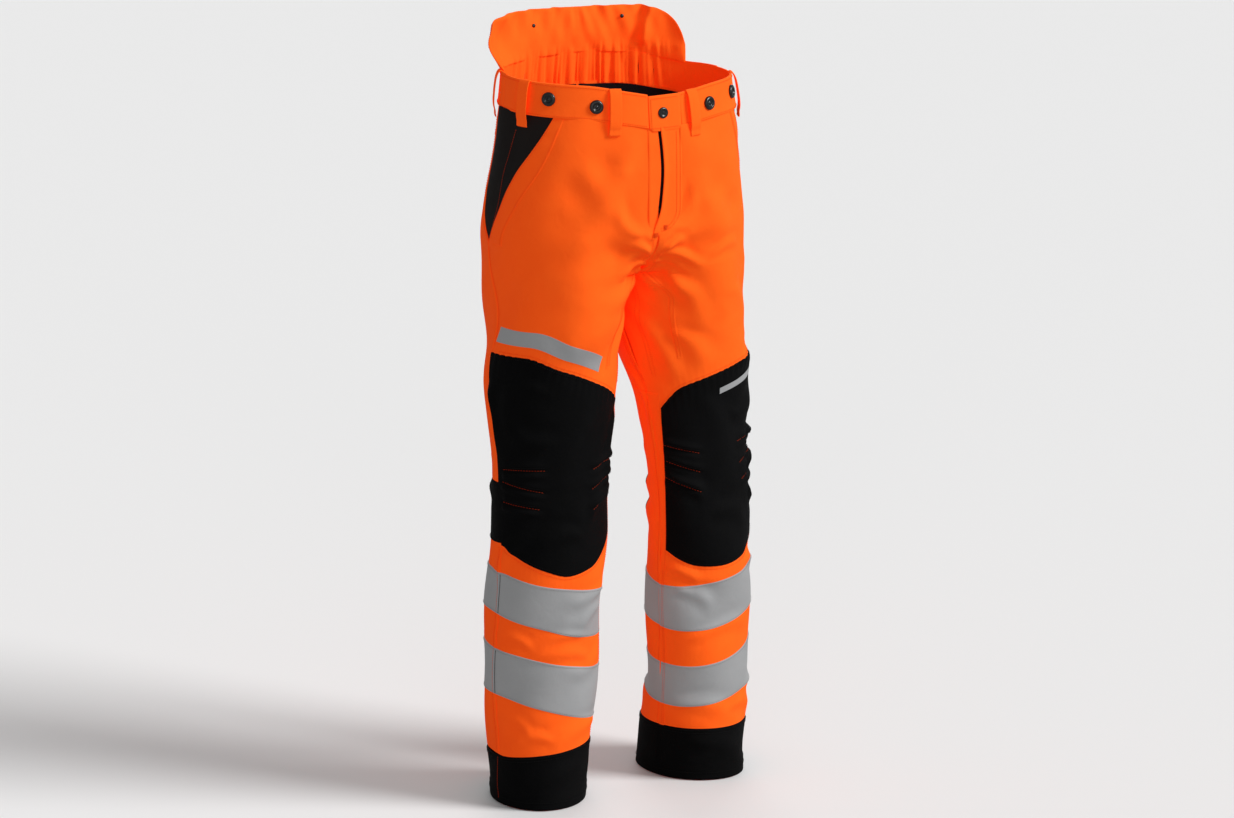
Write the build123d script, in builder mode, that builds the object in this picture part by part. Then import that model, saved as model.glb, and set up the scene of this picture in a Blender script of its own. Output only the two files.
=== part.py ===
from build123d import *
import math
import os
from functools import cache

# Chainsaw-protection work trousers with a raised back bib, in mm, standing upright.
# z is up and the hem is at z = 0. The front faces -y and the wearer's right is -x.
# Each shell of cloth is a faceted solid less a smaller one, trimmed by prisms.
# Right pieces are modelled and most left ones are mirrored about the YZ plane.

os.makedirs("parts", exist_ok=True)

# ---------------------------------------------------------------- driving dimensions
Y0 = -7.0               # puts the origin under the middle of the front-to-back depth
REACH = 400             # cutting prisms reach this far, past the whole garment
ABOVE_ALL, BELOW_ALL = 1300, -50
SIDES = 16              # flat facets round each tube of cloth
FABRIC = 1.6            # outer shell cloth with its seam allowance

# layers: depth of the outer and inner faces, inward from the skin
CLOTH = (0, FABRIC)
SAW_PAD = (2.2, 8.2)              # cut-retardant insert of layered knit
REFLECTIVE_TAPE = (-1.1, -0.1)
POCKET_BAG = (FABRIC + 1.0, FABRIC + 2.0)
LINING = (FABRIC + 1.0, FABRIC + 1.8)
WAISTBAND = (-1.0, 2.0)
UNDER_TAB = (WAISTBAND[1], 4.5)
ELASTIC = (2.6, 4.0)
TAB = (WAISTBAND[0], 1.5)
DOUBLE_CLOTH = (0, 1.8)           # fly placket and back bib

# folds at the hip and knee: a wedge opens from a line across the leg
HIP_Y, HIP_Z = Y0, 790.0
KNEE_Y, KNEE_Z = -20.0 + Y0, 480.0
HIP_FRONT_SEAT, HIP_BACK_SEAT = 12.0, 4.0     # rise of the wedge's upper face, degrees
HIP_FRONT_LEG, HIP_BACK_LEG = 34.0, 9.0       # fall of its lower face
KNEE_FRONT = 1.0
KNEE_BACK_THIGH, KNEE_BACK_SHIN = 30.0, 46.0
FOLD_GAP = 1.5          # from a fold line to the panel edge each side of it
FOLD_OVERLAP = 0.2      # the folded cloth laps this far over each panel edge

HALF_SEAM = 0.2
SIDE_Y = 10 + Y0        # side seam of the trunk
CUFF_TOP, CUFF_GAP = 78.0, 0.3
WAIST_LOW, WAIST_TOP, WAIST_TILT = 1027.0, 1075.0, 0.17  # band edges: z = value + tilt * y
BIB_TOP = 1141.0
FLY_LEFT, FLY_RIGHT, FLY_LOW, FLY_GAP = 38.0, -6.0, 846.0, 0.5
TAB_RIGHT = -14.0

# leg sections: height, centre distance from the middle plane, centre y, half width, half depth
LEG = (
    (-6, 130, 5, 70, 87.5), (80, 132, -1, 75, 79),
    (180, 134, -10, 81, 69), (300, 132, -15, 85, 69),
    (420, 126, -24, 84, 65), (500, 123, -21, 85, 66),
    (580, 119, -15, 90, 74), (660, 108, 1, 96, 99),
    (720, 101, 10, 98, 120), (810, 100, 8, 97, 126),
)
TOE_OUT = math.radians(18.0)      # each leg's front faces this far outward
LEG_MIDDLE = (-122.0, -10.0 + Y0)

# trunk sections: height, half width, half depth, centre y, squareness
TRUNK = (
    (775, 193, 128, 8, 2.7), (850, 193, 130, 8, 2.6),
    (900, 190, 128, 6, 2.5), (950, 187, 125, 3, 2.4),
    (1000, 184, 120, 0, 2.3), (1100, 172, 111, 0, 2.2),
    (1150, 174, 117, 3, 2.2),
)


# ---------------------------------------------------------------- faceted body solids
sin_toe, cos_toe = math.sin(TOE_OUT), math.cos(TOE_OUT)
turns = [math.radians(360.0 * k / SIDES) for k in range(SIDES)]
leg_directions = [
    (-cos_toe * math.cos(t) - sin_toe * math.sin(t), sin_toe * math.cos(t) - cos_toe * math.sin(t))
    for t in turns]
trunk_directions = [(math.sin(t), -math.cos(t)) for t in turns]


def faceted_polygon(directions, distances):
    """Corners of the polygon whose edges face the directions at the distances from the origin."""
    points = []
    for k in range(len(directions)):
        following = (k + 1) % len(directions)
        (ax, ay), (bx, by) = directions[k], directions[following]
        here, there = distances[k], distances[following]
        det = ax * by - ay * bx
        points.append(((here * by - there * ay) / det, (ax * there - bx * here) / det))
    return points


def faceted_solid(directions, levels):
    """Solid with flat facets through polygons at each (z, distances) level."""
    with BuildPart() as body:
        for z, distances in levels:
            with BuildSketch(Plane.XY.offset(z)):
                with BuildLine():
                    Polyline(*faceted_polygon(directions, distances), close=True)
                make_face()
        loft(ruled=True)
    return body.part


@cache
def leg_solid(inset):
    """Right leg, its elliptical sections moved inward by inset."""
    levels = []
    for z, x, y, half_width, half_depth in LEG:
        levels.append((z, [
            -x * d[0] + (y + Y0) * d[1]
            + math.hypot(half_width * math.cos(t), half_depth * math.sin(t)) - inset
            for d, t in zip(leg_directions, turns)]))
    return faceted_solid(leg_directions, levels)


def section_distances(section, inset):
    """Distance of each facet of a trunk section (a superellipse) from the middle axis."""
    _, half_width, half_depth, y, squareness = section
    power = squareness / (squareness - 1)
    return [
        (y + Y0) * d[1]
        + ((half_width * abs(math.sin(t))) ** power
           + (half_depth * abs(math.cos(t))) ** power) ** (1 / power) - inset
        for d, t in zip(trunk_directions, turns)]


@cache
def trunk_solid(inset):
    """Trunk from the crotch past the top of the bib, its skin moved inward by inset."""
    levels = [(section[0], section_distances(section, inset)) for section in TRUNK]
    return faceted_solid(trunk_directions, levels)


def trunk_facets(z):
    """Facet distances of the waistband's outer face at height z, and their change with height."""
    for low, high in zip(TRUNK, TRUNK[1:]):
        if low[0] <= z <= high[0]:
            rise = high[0] - low[0]
            part_way = (z - low[0]) / rise
            pairs = list(zip(section_distances(low, WAISTBAND[0]),
                             section_distances(high, WAISTBAND[0])))
            return [a + part_way * (b - a) for a, b in pairs], [(b - a) / rise for a, b in pairs]
    raise ValueError(f"no trunk section at height {z}")


def trunk_hit(angle, z):
    """Point on the waistband's outer face and its facet. Angle 0 is front, positive to the left."""
    dx, dy = math.sin(math.radians(angle)), -math.cos(math.radians(angle))
    reach, facet = min(
        ((distance - d[1] * Y0) / (d[0] * dx + d[1] * dy), k)
        for k, (distance, d) in enumerate(zip(trunk_facets(z)[0], trunk_directions))
        if d[0] * dx + d[1] * dy > 0.05)
    return (reach * dx, Y0 + reach * dy, z), facet


def skin_plane(angle, z):
    """Plane level with the waistband's outer face: x along the cloth, y up it, z outward."""
    origin, facet = trunk_hit(angle, z)
    slope = trunk_facets(z)[1][facet]
    d = trunk_directions[facet]
    return Plane(origin=origin, x_dir=(-d[1], d[0], 0), z_dir=(d[0], d[1], -slope))


def band_frame(angle):
    """Skin plane on the middle of the waistband."""
    y_guess = trunk_hit(angle, 1050)[0][1]
    return skin_plane(angle, (WAIST_TOP + WAIST_LOW) / 2 + WAIST_TILT * y_guess)


# ---------------------------------------------------------------- cutting prisms
def prism(plane, points, amount=REACH, both=True):
    """Extrusion of a closed outline drawn on the plane."""
    with BuildPart() as body:
        with BuildSketch(plane):
            with BuildLine():
                Polyline(*points, close=True)
            make_face()
        extrude(amount=amount, both=both)
    return body.part


def side_prism(points):
    """Prism across the whole width from (y, z) points."""
    return prism(Plane.YZ, points)


def front_prism(points):
    """Prism through the whole depth from (x, z) points."""
    return prism(Plane.XZ, points)


def plan_prism(points):
    """Prism through the whole height from (x, y) points."""
    return prism(Plane.XY.offset(BELOW_ALL), points, amount=1400, both=False)


def box(a, b, c, d):
    """Outline of the rectangle with opposite corners (a, b) and (c, d)."""
    return [(a, b), (c, b), (c, d), (a, d)]


def fold_line(y, z, front_angle, back_angle, front_reach=REACH, back_reach=REACH):
    """Three (y, z) points, front to back, that rise both ways from a fold at the given angles."""
    return [
        (y - front_reach, z + front_reach * math.tan(math.radians(front_angle))),
        (y, z),
        (y + back_reach, z + back_reach * math.tan(math.radians(back_angle)))]


def fold_zones(y, z, front_up, back_up, front_down, back_down):
    """Zones above and below a fold, and the wedge between them."""
    above = fold_line(y, z + FOLD_GAP, front_up, back_up)
    below = fold_line(y, z - FOLD_GAP, -front_down, -back_down)
    wedge_top = fold_line(y, z + FOLD_GAP - FOLD_OVERLAP, front_up, back_up)
    wedge_low = fold_line(y, z - FOLD_GAP + FOLD_OVERLAP, -front_down, -back_down)
    return (
        side_prism(above + [(y + REACH, ABOVE_ALL), (y - REACH, ABOVE_ALL)]),
        side_prism(below + [(y + REACH, BELOW_ALL), (y - REACH, BELOW_ALL)]),
        side_prism(wedge_top + wedge_low[::-1]))


def leg_point(outward, forward):
    """Plan point beside the right leg's middle, in the leg's own turned directions."""
    return (LEG_MIDDLE[0] - cos_toe * outward - sin_toe * forward,
            LEG_MIDDLE[1] + sin_toe * outward - cos_toe * forward)


def leg_slice(inseam, side_seam, side_end, inseam_end):
    """Zone of the right leg between forward distances on the inseam side and the outer side."""
    inner, outer = -340, 335
    return plan_prism([
        leg_point(inner, inseam), leg_point(outer, side_seam),
        leg_point(outer, side_end), leg_point(inner, inseam_end)])


def tape_zone(z_mid, height=70.0, fall=0.22, middle_x=-130):
    """Slanted zone of a reflective band, low at the inner side of the right leg."""
    outer_z, inner_z = (z_mid - fall * (x - middle_x) for x in (-REACH, 0))
    return front_prism([
        (-REACH, outer_z - height / 2), (0, inner_z - height / 2),
        (0, inner_z + height / 2), (-REACH, outer_z + height / 2)])


def waist_point(y, z):
    """(y, z) point on a line parallel to the waistband that passes height z at y = 0."""
    return (y, z + WAIST_TILT * y)


def waist_zone(low, top):
    """Tilted slab between two heights."""
    return side_prism([
        waist_point(-REACH, low), waist_point(REACH, low),
        waist_point(REACH, top), waist_point(-REACH, top)])


above_hip, below_hip, hip_gap = fold_zones(
    HIP_Y, HIP_Z, HIP_FRONT_SEAT, HIP_BACK_SEAT, HIP_FRONT_LEG, HIP_BACK_LEG)
above_knee, below_knee, knee_gap = fold_zones(
    KNEE_Y, KNEE_Z, KNEE_FRONT, KNEE_BACK_THIGH, KNEE_FRONT, KNEE_BACK_SHIN)
right_half = plan_prism(box(-0.75, -REACH, -REACH, REACH))

# leg cloth is parted along the inseam and side seam; the saw pads start further forward
leg_front = leg_slice(-20, 58, 458, 380)
leg_back = leg_slice(-20, 58, -458, -380)
pad_front = leg_slice(4, 62, 458, 380)

# knee patch edges, (x, z) from the side seam to the inseam: the patch climbs outward
KNEE_TOP = [(-REACH, 771.0), (-44, 610.5), (0, 591.0)]
KNEE_LOW = [
    (-REACH, 560.0), (-210, 396.0), (-190, 378.0), (-165, 364.0), (-120, 352.0),
    (-80, 352.0), (-55, 364.0), (-40, 380.0), (0, 420.0)]
KNEE_GAP = 0.4
above_knee_patch = front_prism(KNEE_TOP + [(0, ABOVE_ALL), (-REACH, ABOVE_ALL)])
knee_patch = front_prism(
    [(x, z - KNEE_GAP) for x, z in KNEE_TOP] + [(x, z + KNEE_GAP) for x, z in KNEE_LOW[::-1]])
below_knee_patch = front_prism(KNEE_LOW + [(0, BELOW_ALL), (-REACH, BELOW_ALL)])
above_cuff = front_prism(box(-REACH, CUFF_TOP + CUFF_GAP, REACH, ABOVE_ALL))
cuff_zone = front_prism(box(-REACH, 0, REACH, CUFF_TOP - CUFF_GAP))

below_waistband = side_prism([
    waist_point(-REACH, WAIST_LOW - 0.4), waist_point(REACH, WAIST_LOW - 0.4),
    (REACH, 700), (-REACH, 700)])
waistband_zone = waist_zone(WAIST_LOW, WAIST_TOP)
inner_band_zone = waist_zone(WAIST_LOW + 3, WAIST_TOP - 3)
bib_zone = side_prism([
    waist_point(18, WAIST_TOP + 0.8), waist_point(200, WAIST_TOP + 0.8),
    (200, BIB_TOP), (60, BIB_TOP), (34, 1118)])

right_front_quarter = plan_prism(box(-HALF_SEAM, -REACH, -REACH, SIDE_Y - HALF_SEAM))
right_back_quarter = plan_prism(box(-HALF_SEAM, REACH, -REACH, SIDE_Y + HALF_SEAM))
back_half = plan_prism(box(-REACH, SIDE_Y + HALF_SEAM, REACH, REACH))
front_half = plan_prism(box(-REACH, -REACH, REACH, Y0))
right_side = plan_prism(box(-REACH, -REACH, -110, REACH))
fly_cut = front_prism(box(FLY_RIGHT - FLY_GAP, FLY_LOW - FLY_GAP, FLY_LEFT + FLY_GAP, ABOVE_ALL))

# slanted side pocket, (y before Y0, z): its mouth runs from the waistband down and back
POCKET = (
    (-72, 1012), (-61, 991), (-34, 945), (-4, 899), (18, 858), (31, 835),
    (48, 850), (58, 900), (62, 1000), (62, 1036), (-60, 1014))
POCKET_MIDDLE = (-2, 950)


def pocket_zone(scale):
    """Pocket outline scaled about its middle."""
    y_mid, z_mid = POCKET_MIDDLE
    return side_prism([
        (y_mid + Y0 + scale * (y - y_mid), z_mid + scale * (z - z_mid)) for y, z in POCKET])


pocket_cut = pocket_zone(1)


# ---------------------------------------------------------------- making and saving pieces
def layer(solid, depths, keep, cut=()):
    """Shell between two depths of a body solid, kept inside some zones and cut by others."""
    outer, inner = depths
    with BuildPart() as piece:
        add(solid(outer))
        add(solid(inner), mode=Mode.SUBTRACT)
        for zone in keep:
            add(zone, mode=Mode.INTERSECT)
        for cutter in cut:
            add(cutter, mode=Mode.SUBTRACT)
    return piece.part


def discs(planes, radius, start, height, hole=None):
    """A disc or ring on each plane, from an offset along its normal."""
    with BuildPart() as piece:
        for plane in planes:
            with BuildSketch(plane.offset(start)):
                Circle(radius)
                if hole:
                    Circle(hole, mode=Mode.SUBTRACT)
            extrude(amount=height)
    return piece.part


def stud_hole(plane, radius):
    """Round cutter through the band at a stud."""
    return discs([plane], radius, start=-12, height=24)


def mirrored(part):
    """Left copy of a right part."""
    with BuildPart() as copy:
        mirror(part, about=Plane.YZ)
    return copy.part


def save(name, part):
    part.label = name
    export_step(part, f"parts/{name}.step")


def save_pair(name, right_part):
    """Save a right piece and its mirrored left one."""
    save(f"right_{name}", right_part)
    save(f"left_{name}", mirrored(right_part))


# ---------------------------------------------------------------- seat
for side, quarter in (("right", right_front_quarter), ("left", mirrored(right_front_quarter))):
    save(f"{side}_front_panel", layer(
        trunk_solid, CLOTH, [above_hip, below_waistband, quarter], cut=[fly_cut, pocket_cut]))
save_pair("back_panel", layer(
    trunk_solid, CLOTH, [above_hip, below_waistband, right_back_quarter], cut=[pocket_cut]))

# the facing fills the pocket's mouth; the bag hangs behind it
save_pair("pocket_facing", layer(trunk_solid, CLOTH, [right_side, pocket_zone(0.985)]))
BAG = (
    (-84, 1005), (-84, 900), (-70, 862), (-30, 840), (30, 842), (45, 870), (45, 1005))
bag_zone = side_prism([(y + Y0, z) for y, z in BAG])
save_pair("pocket_bag", layer(trunk_solid, POCKET_BAG, [bag_zone, right_side]))

# lining inside the back of the seat
save("seat_lining", layer(trunk_solid, LINING, [side_prism(box(56 + Y0, 900, REACH, 1020))]))

# gusset under the crotch, a strap that follows the hip fold from front to back
GUSSET_FRONT, GUSSET_BACK, GUSSET_HALF_WIDTH = 108, 122, 21
gusset_low, gusset_top = (
    fold_line(HIP_Y, HIP_Z + lift, HIP_FRONT_SEAT, HIP_BACK_SEAT, GUSSET_FRONT, GUSSET_BACK)
    for lift in (4, 6))
with BuildPart() as crotch_gusset:
    add(side_prism(gusset_low + gusset_top[::-1]))
    add(front_prism(box(-GUSSET_HALF_WIDTH, 700, GUSSET_HALF_WIDTH, 900)), mode=Mode.INTERSECT)
save("crotch_gusset", crotch_gusset.part)

# cloth that folds in front of and behind the hip
save_pair("hip_fold", layer(leg_solid, CLOTH, [hip_gap, right_half]))

# ---------------------------------------------------------------- waistband
BUTTON_ANGLES = (-66.0, -42.0, 42.0, 66.0)
BUTTON_HOLE = 2.6
button_planes = [band_frame(angle) for angle in BUTTON_ANGLES]
snap_plane = band_frame(2.0)

# the right band has a thinner end that runs under the tab
under_tab = layer(
    trunk_solid, UNDER_TAB,
    [inner_band_zone, plan_prism(box(-30, -REACH, 34, Y0 - 40))], cut=[stud_hole(snap_plane, 4.6)])
right_band_zone = plan_prism(box(TAB_RIGHT - FLY_GAP, -REACH, -REACH, SIDE_Y - HALF_SEAM))
with BuildPart() as waistband_front_right:
    add(layer(trunk_solid, WAISTBAND, [waistband_zone, right_band_zone]))
    add(under_tab)
    for plane in button_planes[:2]:
        add(stud_hole(plane, BUTTON_HOLE), mode=Mode.SUBTRACT)
save("waistband_front_right", waistband_front_right.part)

left_band_zone = plan_prism(box(FLY_LEFT + FLY_GAP, -REACH, REACH, SIDE_Y - HALF_SEAM))
save("waistband_front_left", layer(
    trunk_solid, WAISTBAND, [waistband_zone, left_band_zone],
    cut=[stud_hole(plane, BUTTON_HOLE) for plane in button_planes[2:]]))
save("waistband_back", layer(trunk_solid, WAISTBAND, [waistband_zone, back_half]))
save("waist_elastic", layer(
    trunk_solid, ELASTIC,
    [inner_band_zone, plan_prism(box(-REACH, 30 + Y0, REACH, REACH))]))

# belt loops: a stitched foot at each end and a strap that stands off the band
BACK_LOOP = 180.0
LOOP_ANGLES = (-77.0, -30.0, 28.0, 77.0, 128.0, BACK_LOOP, -128.0)
LOOP_WIDTH, LOOP_STAND, LOOP_THICK = 18.0, 5.0, 1.6
LOOP_TOP, LOOP_TOP_BACK = 30.0, 22.0    # the back loop ends below the bib's lower edge


def loop_profile(top):
    """Side outline of a belt loop: (distance off the band, height above its middle)."""
    strap_inside = LOOP_STAND - LOOP_THICK
    return (
        (0, -31), (0, -22), (strap_inside, -18), (strap_inside, top - 12), (0, top - 8),
        (0, top), (LOOP_THICK, top), (LOOP_STAND, top - 10), (LOOP_STAND, -20), (LOOP_THICK, -31))


with BuildPart() as belt_loops:
    for angle in LOOP_ANGLES:
        top = LOOP_TOP_BACK if angle == BACK_LOOP else LOOP_TOP
        face = band_frame(angle)
        # this plane's x points off the band and its y points down
        side_plane = Plane(
            origin=face.origin + face.z_dir * 0.7 - face.x_dir * (LOOP_WIDTH / 2),
            x_dir=face.z_dir, z_dir=face.x_dir)
        with BuildSketch(side_plane):
            with BuildLine():
                Polyline(*[(off, -height) for off, height in loop_profile(top)], close=True)
            make_face()
        extrude(amount=LOOP_WIDTH)
save("belt_loops", belt_loops.part)

# brace buttons: cap with a dished middle on a shank, and a washer that holds it inside the band
BUTTON_RADIUS, BUTTON_HEIGHT, BUTTON_STAND = 10.0, 3.0, 0.5
DISH_RADIUS, DISH_DEPTH = 4.5, 1.0
with BuildPart() as brace_buttons:
    for plane in button_planes:
        with BuildSketch(plane.offset(BUTTON_STAND)):
            Circle(BUTTON_RADIUS)
        extrude(amount=BUTTON_HEIGHT)
        with BuildSketch(plane.offset(BUTTON_STAND + BUTTON_HEIGHT - DISH_DEPTH)):
            Circle(DISH_RADIUS)
        extrude(amount=2.0, mode=Mode.SUBTRACT)
        # the shank starts inside the cap and runs in through the band
        with BuildSketch(plane.offset(0.6)):
            Circle(2.3)
        extrude(amount=-7.1)
    dish_edges = brace_buttons.edges().filter_by(GeomType.CIRCLE).filter_by(
        lambda e: abs(e.radius - DISH_RADIUS) < 0.01)
    fillet(dish_edges, radius=0.35)
save("brace_buttons", brace_buttons.part)
save("button_washers", discs(button_planes, 4.5, start=-5.2, height=-1.0, hole=2.4))

# ---------------------------------------------------------------- fly
placket_outline = front_prism([
    (FLY_RIGHT, FLY_LOW + 12), (FLY_RIGHT + 8, FLY_LOW), (FLY_LEFT - 6, FLY_LOW + 16),
    (FLY_LEFT, FLY_LOW + 40), (FLY_LEFT, ABOVE_ALL), (FLY_RIGHT, ABOVE_ALL)])
save("fly_placket", layer(
    trunk_solid, DOUBLE_CLOTH, [front_half, below_waistband, placket_outline]))
save("waistband_tab", layer(
    trunk_solid, TAB,
    [front_half, waistband_zone, front_prism(box(TAB_RIGHT, 900, FLY_LEFT, ABOVE_ALL))],
    cut=[stud_hole(snap_plane, 2.8)]))

# snap: rounded cap with a post, and the ring it presses into
with BuildPart() as waist_snap_cap:
    with BuildSketch(snap_plane.offset(0.4)):
        Circle(8.0)
    extrude(amount=2.4)
    rim = waist_snap_cap.edges().filter_by(GeomType.CIRCLE).group_by(
        lambda e: snap_plane.to_local_coords(e.center()).Z)[-1]
    fillet(rim, radius=0.9)
    with BuildSketch(snap_plane.offset(0.5)):
        Circle(2.5)
    extrude(amount=-3.3)
save("waist_snap_cap", waist_snap_cap.part)
save("waist_snap_socket", discs([snap_plane], 4.4, start=-3.1, height=-3.6, hole=2.6))

UNDERLAP = ((-30, 848), (30, 848), (44, 870), (44, 1003), (-30, 1003))    # (x, z)
save("fly_underlap", prism(Plane.XZ.offset(109.5 - Y0), UNDERLAP, amount=-1.4, both=False))

ZIP_X, ZIP_Y = 12.0, -113.0 + Y0       # middle of the teeth
ZIP_TOP, ZIP_LOW = 996.0, 852.0
ZIP_LENGTH, ZIP_MIDDLE = ZIP_TOP - ZIP_LOW, (ZIP_X, (ZIP_TOP + ZIP_LOW) / 2)
TOOTH_PITCH, TOOTH_COUNT = 4.0, 34
SLIDER_Z = 984.0


def zip_plane(forward):
    """Upright plane facing the front, the given distance forward of the teeth's middle."""
    return Plane.XZ.offset(-ZIP_Y + forward)


with BuildPart() as zip_tape:
    with BuildSketch(zip_plane(-1.6)):
        with Locations(ZIP_MIDDLE):
            Rectangle(28, ZIP_LENGTH + 6)
    extrude(amount=-0.8)
save("zip_tape", zip_tape.part)

# a spine joins the row of teeth
with BuildPart() as zip_teeth:
    with BuildSketch(zip_plane(-1.5)):
        with Locations(ZIP_MIDDLE):
            Rectangle(3.0, ZIP_LENGTH - 8)
    extrude(amount=1.0)
    with BuildSketch(zip_plane(-0.6)):
        with Locations(ZIP_MIDDLE):
            with GridLocations(0, TOOTH_PITCH, 1, TOOTH_COUNT):
                Rectangle(5.0, 2.4)
    extrude(amount=1.2)
save("zip_teeth", zip_teeth.part)

with BuildPart() as zip_stops:
    with BuildSketch(zip_plane(-1.5)):
        with Locations((ZIP_X, ZIP_LOW - 1.5), (ZIP_X, ZIP_TOP - 0.5)):
            Rectangle(6.5, 3.0)
    extrude(amount=2.0)
save("zip_stops", zip_stops.part)

# slider: a front plate, two side walls beside the teeth and two lugs on the front
with BuildPart() as zip_slider:
    with BuildSketch(zip_plane(0.9)):
        with Locations((ZIP_X, SLIDER_Z)):
            Rectangle(9.0, 12.0)
    extrude(amount=1.2)
    fillet(zip_slider.edges().filter_by(Axis.Y), radius=2.0)
    with BuildSketch(zip_plane(-1.4)):
        with Locations((ZIP_X - 3.8, SLIDER_Z), (ZIP_X + 3.8, SLIDER_Z)):
            Rectangle(1.2, 9.0)
    extrude(amount=2.6)
    with BuildSketch(zip_plane(2.0)):
        with Locations((ZIP_X - 1.9, SLIDER_Z + 1.5), (ZIP_X + 1.9, SLIDER_Z + 1.5)):
            Rectangle(1.0, 4.0)
    extrude(amount=1.6)
save("zip_slider", zip_slider.part)

# pull: narrow between the lugs and wide below, with a round hole
PULL_HALF = ((1.2, 2.4), (1.2, -5), (3.6, -9), (3.6, -24))    # (half width, height), downward
pull_outline = [(ZIP_X + x, SLIDER_Z + z) for x, z in PULL_HALF]
pull_outline += [(ZIP_X - x, SLIDER_Z + z) for x, z in PULL_HALF[::-1]]
with BuildPart() as zip_pull:
    with BuildSketch(zip_plane(2.4)):
        with BuildLine():
            Polyline(*pull_outline, close=True)
        make_face()
        with Locations((ZIP_X, SLIDER_Z - 19)):
            Circle(1.8, mode=Mode.SUBTRACT)
    extrude(amount=0.9)
save("zip_pull", zip_pull.part)

# ---------------------------------------------------------------- back bib
save("back_bib", layer(trunk_solid, DOUBLE_CLOTH, [bib_zone]))

# planes on the bib's own outer face, which lies inside the waistband's
bib_planes = [skin_plane(angle, 1122.0).offset(WAISTBAND[0]) for angle in (-146.0, 146.0)]
with BuildPart() as bib_brace_buttons:
    for plane in bib_planes:
        with BuildSketch(plane.offset(0.4)):
            Circle(8.5)
        extrude(amount=2.6)
        with BuildSketch(plane.offset(2.2)):
            Circle(4.0)
        extrude(amount=2.0, mode=Mode.SUBTRACT)
save("bib_brace_buttons", bib_brace_buttons.part)
save("bib_rivets", discs(bib_planes, 3.2, start=-2.6, height=-1.0))

# ---------------------------------------------------------------- thighs and knees
save_pair("thigh_front_panel", layer(
    leg_solid, CLOTH, [below_hip, leg_front, above_knee_patch, right_half]))
save_pair("thigh_back_panel", layer(
    leg_solid, CLOTH, [below_hip, leg_back, above_knee, right_half]))
save_pair("thigh_saw_pad", layer(
    leg_solid, SAW_PAD,
    [below_hip, pad_front, above_knee, right_half, front_prism(box(-REACH, 484, 0, 742))]))
save_pair("knee_panel", layer(leg_solid, CLOTH, [leg_front, knee_patch]))
save_pair("back_knee_panel", layer(leg_solid, CLOTH, [leg_back, knee_gap]))

# ---------------------------------------------------------------- lower legs
save_pair("shin_front_panel", layer(leg_solid, CLOTH, [leg_front, below_knee_patch, above_cuff]))
save_pair("shin_back_panel", layer(leg_solid, CLOTH, [leg_back, below_knee, above_cuff]))
save_pair("shin_saw_pad", layer(
    leg_solid, SAW_PAD, [pad_front, below_knee, front_prism(box(-REACH, 92, 0, 476))]))
save_pair("upper_reflective_band", layer(leg_solid, REFLECTIVE_TAPE, [tape_zone(300.0)]))
save_pair("lower_reflective_band", layer(leg_solid, REFLECTIVE_TAPE, [tape_zone(172.0)]))
save_pair("hem_cuff", layer(leg_solid, CLOTH, [cuff_zone]))
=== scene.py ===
import bpy
import math
import numpy as np
from mathutils import Matrix, Vector


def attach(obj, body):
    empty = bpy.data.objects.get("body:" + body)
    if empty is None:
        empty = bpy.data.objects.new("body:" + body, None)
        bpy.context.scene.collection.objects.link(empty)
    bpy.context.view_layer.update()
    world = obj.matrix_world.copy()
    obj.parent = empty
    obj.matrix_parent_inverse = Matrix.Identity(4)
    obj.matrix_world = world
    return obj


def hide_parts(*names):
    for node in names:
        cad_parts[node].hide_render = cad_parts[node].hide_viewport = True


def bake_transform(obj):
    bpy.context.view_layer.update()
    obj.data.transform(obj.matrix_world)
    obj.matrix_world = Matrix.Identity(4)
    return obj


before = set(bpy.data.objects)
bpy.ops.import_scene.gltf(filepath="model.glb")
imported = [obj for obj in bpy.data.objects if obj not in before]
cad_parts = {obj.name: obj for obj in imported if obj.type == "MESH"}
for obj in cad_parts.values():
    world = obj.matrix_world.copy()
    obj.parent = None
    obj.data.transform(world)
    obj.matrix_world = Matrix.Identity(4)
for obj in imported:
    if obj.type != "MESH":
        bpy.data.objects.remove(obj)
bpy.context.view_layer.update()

Y0 = -7.0
ZC, HC = 786.0, 68.0
rng = np.random.default_rng(7)


def sm(x):
    x = np.clip(x, 0.0, 1.0)
    return x * x * (3 - 2 * x)


def curve(xs, ys):
    """Monotone cubic through points."""
    xs, ys = np.array(xs, float), np.array(ys, float)
    h = np.diff(xs)
    dl = np.diff(ys) / h
    m = np.zeros(len(xs))
    for i in range(1, len(xs) - 1):
        if dl[i - 1] * dl[i] > 0:
            m[i] = 2 * dl[i - 1] * dl[i] / (dl[i - 1] + dl[i])
    m[0], m[-1] = dl[0], dl[-1]

    def f(q):
        q = np.clip(np.asarray(q, float), xs[0], xs[-1])
        i = np.clip(np.searchsorted(xs, q, side="right") - 1, 0, len(h) - 1)
        t = (q - xs[i]) / h[i]
        t2, t3 = t * t, t * t * t
        return (2 * t3 - 3 * t2 + 1) * ys[i] + (t3 - 2 * t2 + t) * h[i] * m[i] + (3 * t2 - 2 * t3) * ys[i + 1] + (t3 - t2) * h[i] * m[i + 1]
    return f


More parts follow.
